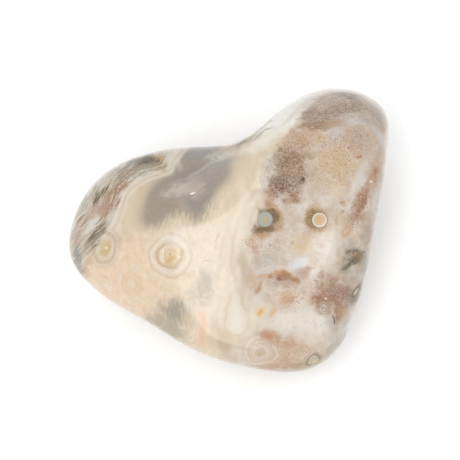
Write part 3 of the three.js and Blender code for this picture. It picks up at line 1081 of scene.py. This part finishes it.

# %% [markdown]
# ## Stains and a painted highlight of the lower right
# Lower down the layer is paler: a short brown bar lies between two orbs, and a white cloud near the edge. A
# pale stripe up the right ridge is a painted highlight along the softbox's reflection there.

# %% Stain the lower right
LOW_STAINS_AND_HIGHLIGHT = {
    "tan under the pale orb": ((300, 247), (1.4, 1.1), 0, "#b59e7c", 0.85),
    "orange left": ((254, 244), (0.6, 1.3), 8, "#af957c", 0.85, 0.8),
    "red drop left": ((256, 251), (0.3, 0.4), 0, "#9b7761", 0.8),
    "blue-white": ((298, 264), (1.3, 0.6), 12, "#bbbcba"),
    "brown bar": ((281.5, 276), (1.5, 0.5), -6, "#977456", 1.0),
    "left end of the bar": ((270.5, 276.5), (0.4, 0.3), 20, "#966c43", 0.95),
    "orange top of the bar": ((278, 273), (0.6, 0.35), 0, "#a57e57"),
    "cream over the bar": ((281.5, 268.5), (1.0, 0.32), 0, "#bbac9a", 0.95),
    "brown top of the bar": ((287, 275), (0.7, 0.45), -35, "#8b6643", 0.95),
    "mauve under the bar": ((281, 284), (1.5, 0.5), -4, "#9a887a"),
    "brown bar core": ((279, 280), (0.5, 0.2), 0, "#683613", 1.0),
    "mauve round the core": ((281, 278.5), (0.7, 0.35), -5, "#855f4c"),
    "brown bar end": ((293.5, 281.5), (0.6, 0.3), -10, "#85633f", 0.95),
    "mauve above its end": ((303, 275), (0.8, 0.7), -30, "#9b8a7b", 0.95),
    "brown fleck over it": ((309.5, 269.5), (0.5, 0.4), 20, "#8c7057", 0.95),
    "brown fleck in it": ((305.5, 275.5), (0.3, 0.3), 0, "#876a58"),
    "tan left": ((250, 276), (0.45, 1.0), 0, "#a98f76"),
    "tan beside it": ((260, 277), (0.5, 0.3), 0, "#ac8f73", 0.85),
    "rose spot": ((259, 289), (0.4, 0.8), -18, "#97765e", 0.95),
    "tan low": ((288, 298), (1.2, 1.1), 15, "#b2997f", 0.85),
    "pale left of the low tan": ((273, 301), (0.6, 0.6), 0, "#bdac9c", 0.8),
    "brown in the low tan": ((286, 301.5), (0.7, 0.4), 10, "#a18263", 0.85),
    "white cloud": ((318, 325), (2.1, 1.7), -8, "#c4bdb4", 1.0),
    "white cloud foot": ((339, 334), (1.5, 1.2), -30, "#a69f93", 0.95),
    "grey in the cloud": ((332, 321), (0.8, 0.8), -30, "#a0958a"),
    "white cloud left": ((289, 321), (2.6, 1.2), -4, "#c4bbb0"),
    "cream right of the low tan": ((301, 304), (0.8, 0.8), 0, "#c1b6a9"),
    "beige left of the heart": ((308, 291), (0.5, 0.9), 0, "#b8a797"),
    "tan right of the maroon": ((311, 189), (0.8, 0.6), 0, "#a89785", 0.8),
    "cream over the foot": ((308, 341), (1.2, 0.9), -10, "#c0b5a8"),
    # A painted highlight: a pale stripe along the softbox's reflection on the right ridge.
    "painted highlight stripe": ((332, 248), (0.7, 2.4), -12, "#bfb6ab"),
    "tan over the field": ((329, 277), (0.9, 0.7), -20, "#998069", 0.95),
}
finish = lay(finish, LOW_STAINS_AND_HIGHLIGHT.values(), stir=soft_grit)
tell("stains of the lower right")

# %% [markdown]
# ## The red-brown heart
# To the right of them lies a heart of red-brown clay, with a tail that runs down from it to the edge. A
# blue-white patch at the tail's foot, on the rim, is a painted reflection of the bright room.

# %% Stain the heart
HEART_STAINS_AND_REFLECTION = {
    "red-brown field": ((336, 287), (1.8, 1.1), -18, "#8b7463", 1.0),
    "tan above the heart": ((322, 286), (0.7, 0.6), 0, "#937761"),
    "mauve right of the field": ((346, 289), (0.7, 0.7), -20, "#846554", 0.95),
    "red-brown heart": ((325, 299), (1.35, 1.0), 8, "#88614a", 1.0),
    "red-brown heart right": ((337, 295), (0.9, 0.8), -10, "#7f6252", 0.95),
    "brown round the ripples": ((326, 309), (0.9, 0.8), -20, "#947e6c", 0.95),
    "brown round the rim orb": ((355, 295), (0.9, 1.5), -28, "#6a5a44", 0.95),
    "brown left of the rim orb": ((347, 304), (0.5, 0.7), -10, "#918070"),
    "grey above the rim orb": ((352, 275), (0.9, 0.9), -20, "#978b7e"),
    "grey left of it": ((342, 270), (0.7, 0.6), 0, "#928676"),
    "tan left of the blotch": ((339, 251), (0.4, 0.5), 0, "#a19180"),
    "tan beside the bar": ((306, 276), (0.6, 0.5), 0, "#957d6b"),
    "red-brown tail": ((338, 309), (0.45, 1.9), -6, "#80604b", 0.95, 0.8),
    "hairline": ((332.5, 320), (0.1, 0.5), 12, "#3b2e1f", 1.0, 0.9, UNSTIRRED),
    # A painted reflection of the bright room on the rim at the tail's foot.
    "painted rim reflection at the foot": ((347, 324), (0.7, 1.8), -15, "#bab9b6", 0.7),
    "brown right of the tail": ((341, 314), (0.6, 0.9), -10, "#92775a", 0.95),
    "ochre low": ((346, 312), (0.4, 0.5), 0, "#a28a6c", 0.8),
    "beige below it": ((345, 322), (0.5, 0.8), -20, "#a89b8b"),
    "grey-olive rim": ((332, 350), (1.9, 0.5), 38, "#999181"),
    "tan rim below": ((340, 340), (0.4, 1.2), -40, "#a59686", 0.85),
    "dark rim below": ((343.5, 338.5), (0.18, 1.3), -40, "#756c5f", 0.85),
}
finish = lay(finish, HEART_STAINS_AND_REFLECTION.values(), stir=soft_grit)
tell("stains of the heart")

# %% [markdown]
# ## The olive blotch and the foot
# An olive blotch sits on the right edge, and rose and brown stains lie along the foot of the stone. The
# last rows are single dots and flecks, which have to lie on top.

# %% Stain the blotch and the foot
FOOT_STAINS = {
    "olive blotch": ((353.5, 257), (1.2, 0.9), 20, "#7a6b58", 1.0),
    "top of the blotch": ((350, 250.5), (0.65, 0.45), -10, "#574e40", 0.95),
    "upper edge of the blotch": ((356, 252.5), (0.9, 0.25), -8, "#655843"),
    "right arm of the blotch": ((358.5, 256.5), (0.45, 0.4), 35, "#6d5a41"),
    "green haze left of the foot": ((344, 263), (0.8, 0.7), 30, "#8b8270", 0.85),
    "brown in the blotch": ((355, 256), (0.5, 0.3), 10, "#85664c"),
    "rose low": ((285, 352), (3.0, 1.6), -8, "#ab947e", 0.95, 0.7),
    "rose under it": ((279, 368), (3.2, 0.6), 3, "#9b816b", 0.95),
    "brown stain low": ((284, 343), (1.5, 0.6), -12, "#a5876d"),
    "pale below the foot's brown": ((301, 357), (0.9, 0.6), 0, "#b2a394"),
    "brown streak low": ((277, 358), (1.5, 0.5), 4, "#a08671"),
    "brown low": ((270, 337), (1.2, 0.9), -12, "#a07d60", 0.95),
    "brown foot": ((312, 362), (2.0, 0.9), 18, "#8b7757", 1.0),
    "pink fleck in the cloud": ((315, 327), (0.2, 0.5), 0, "#bda595"),
    "dark dot": ((300.8, 178.3), (0.22, 0.2), 0, "#391600", 1.0, 0.6),
    "olive-brown left of the maroon": ((279, 158), (0.8, 1.1), -20, "#7f634b", 0.95),
    "grey under it": ((271, 172), (0.7, 0.9), 10, "#8b7a6b", 0.85),
    "small dark dot": ((269, 248), (0.12, 0.12), 0, "#6c5b56", 0.9, 0.6),
    "white fleck": ((371, 182), (0.2, 0.2), 0, "#c5c0b7", 1.0, 0.6),
}
finish = lay(finish, FOOT_STAINS.values(), stir=soft_grit)
LOW_SPECKS = [
    ((349.5, 262.3), (1.15, 0.3), 38, "#484132", 0.95, 0.9, UNSTIRRED, frayed_place),
    ((343.5, 267.5), (0.35, 0.22), 40, "#575041", 0.9, 0.9, UNSTIRRED, frayed_place),
    ((261, 310), (0.6, 0.5), 0, "#c2a87b"),
    ((260.3, 311), (0.25, 0.3), 0, "#ba8d4b", 0.8),
    ((271.5, 311.5), (0.35, 0.4), 0, "#b89974", 0.85),
]
finish = lay(finish, LOW_SPECKS)
tell("stains of the foot")

# %% [markdown]
# ## The first orbs
# Two tiny orbs sit in the red-brown heart and under it. An orb grew outward from one seed, shell by shell,
# as a ball, so it is a set of coloured shells along the distance to a point in space. A little noise added
# to that distance keeps the shells of a large orb from being drawn with a compass.

# %% Ring the heart
ORB_STIR = 0.06


def orb(below, pixel, radius, stops, coords=None, stretch=(1, 1), turn=0, stir=UNSTIRRED):
    """Lays an orb round a pixel: coloured shells, each at a distance in mm from its middle. Its depth is 1
    at the middle and 0 at the radius. A stir is near 1, so it adds its share, and the stops move by as
    much."""
    sides = (radius * stretch[0], radius * stretch[1], radius)
    deepness = depth_inside(coords or soft_place, pixel, sides, turn)
    if stir:
        deepness = add_node("ShaderNodeMath", {"operation": "MULTIPLY_ADD", 1: ORB_STIR},
                            {0: stir, 2: deepness})
        stops = [(at - ORB_STIR * radius, colour, shown) for at, colour, shown in stops]
    depths = [(1 - at / radius, colour, shown) for at, colour, shown in stops]
    return shells(below, deepness, 1.0, 0.0, depths)


finish = orb(finish, (324, 308.5), 0.75, [
    (0.0, "#806d5d", 0.8), (0.12, "#c0bab3", 0.7), (0.24, "#7a6757", 0.7), (0.38, "#c0bab3", 0.7),
    (0.5, "#826f5f", 0.5), (0.64, "#b7afa7", 0.25), (0.74, "#b7afa7", 0.0)], frayed_place, (0.9, 1.3))
finish = orb(finish, (325.8, 298.6), 0.5, [
    (0.0, "#c8c1ba", 1.0), (0.14, "#b4a69a", 0.9), (0.24, "#7b4e35", 0.7), (0.36, "#8f6d5a", 0.5),
    (0.48, "#a18778", 0.0)], where)
tell("first orbs")

# %% [markdown]
# ## Stripes and grains
# The cap's stripes are dark and pale, so its noise is cut twice. And seen close, every stain of the right
# half is sandy: dark grains and pale ones lie side by side in it. They come from a noise as fine as coarse
# sand, cut above its middle for the dark grains and below it for the pale ones, and each stain gives them
# its own two colours.

# %% Stripe the cap and strew the grains
DARK_SHARE = 0.75
PALE_SHARE = 0.5
in_cap = oval((340, 107), (4.2, 2.0), 4, 0.5)
finish = cover(finish, "#6b594c", both(in_cap, cut(cap_streaks, 0.54, 0.66)), 0.6)
finish = cover(finish, "#afa49a", both(in_cap, cut(cap_streaks, 0.46, 0.33)), 0.7)

GRAINS = {
    "maroon": ((287, 175), (2.5, 3.5), -8, "#36200e", "#afa49b"),
    "bridge": ((303, 143), (3.2, 1.4), 8, "#7f624a", "#b7a99d"),
    "tan": ((334, 164), (2.9, 3.0), 0, "#90704e", "#c3b4a0"),
    "cap": ((335, 110), (4.4, 1.9), 5, "#83715f", "#b3a79c"),
    "arc field": ((356, 142), (2.6, 1.8), -12, "#7f6451", "#b5a99e"),
    "low tan": ((290, 297), (2.4, 1.6), 0, "#917051", "#beb3a8"),
    "rust": ((361, 202), (1.0, 3.4), -24, "#774923", "#bba896"),
    "red-brown": ((330, 293), (2.6, 2.2), -18, "#76513b", "#ac9a8d"),
    "foot": ((290, 350), (4.0, 1.8), -8, "#9a7a61", "#bbaea2"),
    "left tan": ((257, 242), (1.6, 1.6), 20, "#856749", "#bdb2a5"),
    "blotch": ((352.5, 258), (1.2, 1.0), 30, "#4d4328", "#aaa395"),
}
for pixel, half, turn, dark, pale in GRAINS.values():
    region = oval(pixel, half, turn, 0.6, stir=soft_grit)
    finish = cover(finish, dark, both(region, dark_grains), DARK_SHARE)
    finish = cover(finish, pale, both(region, pale_grains), PALE_SHARE)
tell("stripes and grains")

# %% [markdown]
# ## The faint orbs
# The stone is named for its orbs, and some show only as a ghost: a grey one in the broken layer and three
# small ones with a single brown ring.

# %% Lay the faint orbs
finish = orb(finish, (264, 261), 1.9, [
    (0.0, "#9c948a", 0.7), (0.5, "#a59d93", 0.6), (0.85, "#9f968b", 0.4), (1.15, "#b4aba1", 0.4),
    (1.35, "#a89c8f", 0.3), (1.55, "#bbb3a9", 0.4), (1.85, "#bbb3a9", 0.0)],
    frayed_place, (1.1, 0.95), 0, soft_grit)
finish = patch(finish, (264, 260), (1.2, 1.0), 0, "#827a70", 0.5, within=dark_grains)
for pixel in ((292, 243.5), (290, 355.5)):
    finish = orb(finish, pixel, 0.5, [
        (0.0, "#c3bbb2", 0.8), (0.12, "#a89786", 0.6), (0.22, "#907c69", 0.5), (0.34, "#bbb2a7", 0.5),
        (0.48, "#bbb2a7", 0.0)], frayed_place)
finish = orb(finish, (345.5, 229), 0.8, [
    (0.0, "#b2957a", 0.7), (0.35, "#bda48c", 0.6), (0.5, "#a07d5c", 0.7), (0.66, "#b59c87", 0.4),
    (0.78, "#b59c87", 0.0)], frayed_place)
tell("faint orbs")

# %% [markdown]
# ## The cream orbs
# Three orbs lie in the left half. The surface cuts them near their middles, so each shows its seed and
# every shell round it. Short strokes and flecks beside the seeds are where a shell was broken.

# %% Lay the cream orbs
finish = orb(finish, (170, 254.5), 3.4, [
    (0.0, "#a68859", 0.7), (0.1, "#a98f6b", 0.8), (0.17, "#cac1b2", 0.9), (0.3, "#bca889", 0.7),
    (0.8, "#c0af95", 0.6), (1.05, "#c8bdad", 0.85), (1.3, "#b39e81", 0.8), (1.55, "#a08c72", 0.85),
    (1.85, "#bbac98", 0.75), (2.15, "#c7bcae", 0.75), (2.4, "#beaf9b", 0.6), (2.65, "#ab9983", 0.6),
    (2.9, "#c5b7a3", 0.35), (3.35, "#c5b7a3", 0.0)], soft_place, stir=fray)
LARGE_ORB_TOUCHES = [
    ((170.5, 260), (0.5, 0.38), 0, "#b4905d", 0.85, 0.9, soft_grit, frayed_place),
    ((175, 251), (0.35, 0.7), 20, "#bb9d73", 0.6, 0.9, soft_grit, frayed_place),
    ((165.5, 255), (0.16, 0.6), 8, "#b29673", 0.6, 0.9, UNSTIRRED, frayed_place),
    ((163.3, 253), (0.07, 0.5), 10, "#d6d0c5", 0.6),
    ((178.5, 251), (0.07, 0.5), -12, "#d3cbbb", 0.6),
    ((176, 241), (1.6, 0.8), -20, "#c8bdb1", 0.7),
]
finish = lay(finish, LARGE_ORB_TOUCHES)
finish = orb(finish, (103, 246.5), 2.9, [
    (0.0, "#c2baab", 1.0), (0.2, "#b8ac96", 1.0), (0.42, "#ab9875", 0.9), (0.75, "#af9e7c", 0.85),
    (1.0, "#baaf9e", 0.9), (1.35, "#b8ad9d", 0.85), (1.6, "#a19280", 0.7), (1.85, "#9f8e7c", 0.7),
    (2.1, "#b7a997", 0.6), (2.45, "#ab9a84", 0.45), (2.85, "#ab9a84", 0.0)],
    soft_place, (0.88, 1.02), -20, fray)
LEFT_ORB_TOUCHES = [
    ((101, 252), (0.5, 0.45), 0, "#a89063", 0.6, 0.9, grit),
    ((107, 243), (0.3, 0.6), 0, "#a89063", 0.6, 0.9, grit),
    ((95, 237), (1.75, 0.62), 54, "#756c5d", 1.0, 0.9, streak_grit),
    ((94, 235), (1.0, 0.3), 52, "#524b3c", 0.95, 0.9, streak_grit),
    ((101, 229), (1.0, 0.5), 45, "#70604d", 1.0, 0.9, streak_grit),
    ((88, 247), (0.12, 1.5), -40, "#a08774", 0.8),
]
finish = lay(finish, LEFT_ORB_TOUCHES)
finish = orb(finish, (131, 284), 1.7, [
    (0.0, "#bdaf9c", 0.8), (0.45, "#bfae98", 0.7), (0.7, "#baa186", 0.6), (1.0, "#c0ab91", 0.5),
    (1.35, "#b49d82", 0.4), (1.65, "#b49d82", 0.0)], wavy_place, stir=fray)
tell("cream orbs")

# %% [markdown]
# ## The pair of dark orbs
# Two orbs stand side by side in the middle of the right half. Each has a small heart with a sharp rim, off
# the middle of a dark olive halo that thins out in grains. So the halo is laid first, as an orb of its own,
# and the heart over it.

# %% Lay the dark orbs
OVER_THE_HALO = [
    ((268.5, 205.5), (0.65, 0.6), 10, "#8a694a", 1.0),
    ((264, 238), (1.0, 0.5), 0, "#a08362"),
]
finish = lay(finish, OVER_THE_HALO, stir=soft_grit)
finish = orb(finish, (269.5, 218.8), 1.95, [
    (0.0, "#66523a", 1.0), (1.15, "#66523a", 1.0), (1.35, "#7c6448", 1.0), (1.5, "#9a7f5e", 0.9),
    (1.7, "#a58868", 0.7), (1.95, "#a98d6f", 0.0)], frayed_place, stir=soft_grit)
ROUND_THE_HALO = [
    ((277, 227), (0.6, 0.7), -30, "#a58e72", 0.85, 0.9, soft_grit),
    ((264.5, 209), (0.8, 0.4), -12, "#6f5a44", 0.95, 0.9, soft_grit),
    ((260, 230), (1.0, 0.65), 28, "#6d543d", 1.0, 0.9, soft_grit),
    ((265, 231), (0.9, 0.45), 0, "#664f33", 1.0, 0.9, soft_grit),
    ((253.5, 217), (0.45, 0.8), 0, "#beb2a1", 0.95, 0.7),
    ((260, 202), (0.6, 0.8), 20, "#b9ab9b", 0.95, 0.8),
]
finish = lay(finish, ROUND_THE_HALO)
finish = patch(finish, (269, 221), (1.7, 1.7), 0, "#3f3119", 0.6, 0.8, within=dark_grains)
finish = patch(finish, (273, 221), (1.3, 1.6), 0, "#a8957a", 0.4, 0.8, within=pale_grains)
finish = orb(finish, (265, 219.2), 1.05, [
    (0.0, "#a49470", 1.0), (0.3, "#9b8f76", 1.0), (0.5, "#938f80", 1.0), (0.8, "#8f9089", 1.0),
    (0.9, "#8b8a80", 0.9), (1.02, "#6a604e", 0.0)], where)
finish = patch(finish, (265, 219), (0.8, 0.8), 0, "#aea693", 0.45, 0.5, within=pale_grains, coords=where)
finish = orb(finish, (315.4, 221), 2.0, [
    (0.0, "#7f6745", 1.0), (1.15, "#7f6745", 1.0), (1.3, "#8d7352", 1.0), (1.5, "#9b8465", 0.9),
    (1.7, "#a58e73", 0.6), (1.95, "#a99278", 0.0)], frayed_place, stir=soft_grit)
finish = patch(finish, (315, 221), (1.7, 1.6), 0, "#5c4b2c", 0.6, 0.8, within=dark_grains)
finish = patch(finish, (315, 221), (1.7, 1.6), 0, "#b3a184", 0.45, 0.8, within=pale_grains)
finish = orb(finish, (319.5, 220), 1.15, [
    (0.0, "#b08f65", 1.0), (0.14, "#b9a17f", 1.0), (0.26, "#b09068", 1.0), (0.42, "#b59c7a", 1.0),
    (0.74, "#b2a189", 1.0), (0.84, "#cac5ba", 1.0), (0.93, "#77684c", 0.9), (1.08, "#6f5e40", 0.0)], where)
finish = patch(finish, (319.5, 220), (0.7, 0.7), 0, "#a8814f", 0.45, 0.6, within=dark_grains, coords=where)
tell("dark orbs")

# %% [markdown]
# ## The orbs of the lower edge
# Three more lie low on the face: a wide one with many thin shells, a small one on the very edge, and a
# narrow dark one at the right, foreshortened by the rim.

# %% Lay the low orbs
finish = patch(finish, (265, 355), (1.8, 1.0), 0, "#aa937b", 0.7, 0.6)
finish = orb(finish, (261.5, 351.5), 2.7, [
    (0.0, "#928969", 0.8), (0.35, "#a2977c", 0.7), (0.6, "#afa08d", 0.6), (0.85, "#c2b6aa", 0.65),
    (1.0, "#a99783", 0.6), (1.2, "#bcb1a5", 0.55), (1.4, "#aa9784", 0.6), (1.7, "#b1a191", 0.5),
    (1.9, "#c4bab1", 0.55), (2.05, "#aa947f", 0.5), (2.3, "#b5a493", 0.35), (2.65, "#a58c77", 0.0)],
    wavy_place, (1.05, 0.85), 5, fray)
finish = patch(finish, (269.5, 337), (1.2, 0.7), -12, "#9d785b", 0.85, stir=soft_grit)
finish = orb(finish, (312.5, 360.5), 1.5, [
    (0.0, "#b7a991", 0.9), (0.3, "#b4a589", 0.9), (0.5, "#a08f71", 0.9), (0.7, "#b4aa9a", 0.8),
    (0.85, "#71675b", 0.9), (1.05, "#857459", 0.75), (1.25, "#a3947f", 0.5), (1.45, "#b4aba0", 0.0)],
    wavy_place, (1.2, 0.8), 25, fray)
finish = orb(finish, (357, 290), 1.5, [
    (0.0, "#b7aa90", 0.9), (0.4, "#ac9b7c", 0.9), (0.6, "#5f5745", 0.95), (0.9, "#706552", 0.9),
    (1.4, "#99948d", 0.0)], soft_place, (0.6, 1.1), -25)
tell("low orbs")

# %% [markdown]
# ## The sides that are turned away
# The photograph shows one face. Under the rim the stone is given the same materials in another arrangement:
# slow agate bands along the contours of a large noise, a clear pool and stains.

# %% Lay the far side
far_place = shifted(shift_about(6.0, 7.0))
far_tide = lumps(far_place, 8.5, 2.0, 0.4, far=151.0)
far_mottle = lumps(wavy_place, 3.0, 5.0, 0.6, far=131.0)
far_side = cover("#baab98", "#a99786", cut(far_mottle, 0.44, 0.6), 0.9)
far_side = cover(far_side, "#c0b8ad", cut(fine_mottle, 0.46, 0.32), 0.6)
far_side = shells(far_side, far_tide, 0.30, 0.70, [
    (0.31, "#928475", 0.9), (0.36, "#897d71", 1.0), (0.385, "#a69989", 0.9), (0.395, "#c0b8ab", 0.9),
    (0.41, "#ac9b86", 0.8), (0.43, "#beb4a5", 0.8), (0.455, "#b3a38d", 0.6), (0.49, "#c4b4a0", 0.4),
    (0.54, "#ae9f8f", 0.0), (0.58, "#bcb4aa", 0.7), (0.60, "#a6927d", 0.7), (0.62, "#beb6ac", 0.8),
    (0.65, "#a08b79", 0.8), (0.69, "#957c69", 0.9)])
far_stain = both(far_mottle, soft_grit)
far_side = cover(far_side, "#896b57", cut(far_stain, 0.58, 0.78), 0.85)
far_side = cover(far_side, "#5c402a", both(cut(far_stain, 0.56, 0.72), dark_grains), 0.6)
tell("far side")

# %% [markdown]
# ## Orbs of the far side
# There the orbs grow round the seeds of a cell pattern. As every orb is a ball, the surface cuts each at
# another depth, so their rings come out at all sizes. A cell's random colour decides whether its orb is
# laid, and the far side covers the finish from just under the rim down.

# %% Grow orbs on the far side
CELLS = {"wide": (8.5, 0.0, 0.35), "small": (4.6, 40.0, 0.55)}
CHOICE_STEP = 0.02
SHELL_STIR = 0.02
for size, far, unchosen in CELLS.values():
    seeds = add_node("ShaderNodeTexVoronoi", {"Scale": 1.0, "Randomness": 0.9},
                     {"Vector": laid_out(soft_place, (far,) * 3, (size,) * 3)}, "Distance")
    kind = add_node("ShaderNodeSeparateColor", {}, {0: seeds.node.outputs["Color"]})
    chosen = cut(kind, unchosen, unchosen + CHOICE_STEP)
    from_seed = add_node("ShaderNodeMath", {"operation": "MULTIPLY_ADD", 1: SHELL_STIR}, {0: fray, 2: seeds})
    far_side = shells(far_side, from_seed, 0.0, 0.5, [
        (0.0, "#c8beb0", 1.0), (0.05, "#a9946d", 1.0), (0.10, "#b29f7c", 1.0), (0.14, "#c5bbab", 0.95),
        (0.19, "#b4a692", 0.95), (0.21, "#978774", 0.95), (0.235, "#beb3a2", 0.95), (0.29, "#b3a08a", 0.9),
        (0.31, "#a08d79", 0.85), (0.33, "#c0b5a6", 0.8), (0.40, "#b4a592", 0.4), (0.45, "#b4a592", 0.0)],
        within=chosen)
below_rim = distance("under_rim", spread(far_mottle, 0.2, 0.8), 2.4)
finish = cover(finish, far_side, cut(below_rim, 0.6, 1.6))
tell("orbs of the far side")

# %% [markdown]
# ## The polish
# Tumbling in finer and finer grit leaves jasper, a quartz, with a bright and slightly soft gloss, and
# quartz has an index of refraction of 1.54. Last of all, the colours are made a little fuller and lighter.

# %% Close the material
FULLNESS = 1.05
LIGHTNESS = 1.012
GLOSS_ROUGHNESS = 0.12
QUARTZ_IOR = 1.54
finish = add_node("ShaderNodeHueSaturation", {"Saturation": FULLNESS, "Value": LIGHTNESS}, {"Color": finish})
tree.links.new(finish, gloss.inputs["Base Color"])
gloss.inputs["Roughness"].default_value = GLOSS_ROUGHNESS
gloss.inputs["IOR"].default_value = QUARTZ_IOR
skin_mesh.materials.append(jasper)
print("jasper:", len(tree.nodes), "nodes")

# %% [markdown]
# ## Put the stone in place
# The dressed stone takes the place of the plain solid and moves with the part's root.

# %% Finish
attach(stone, "root")
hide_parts(NODE)
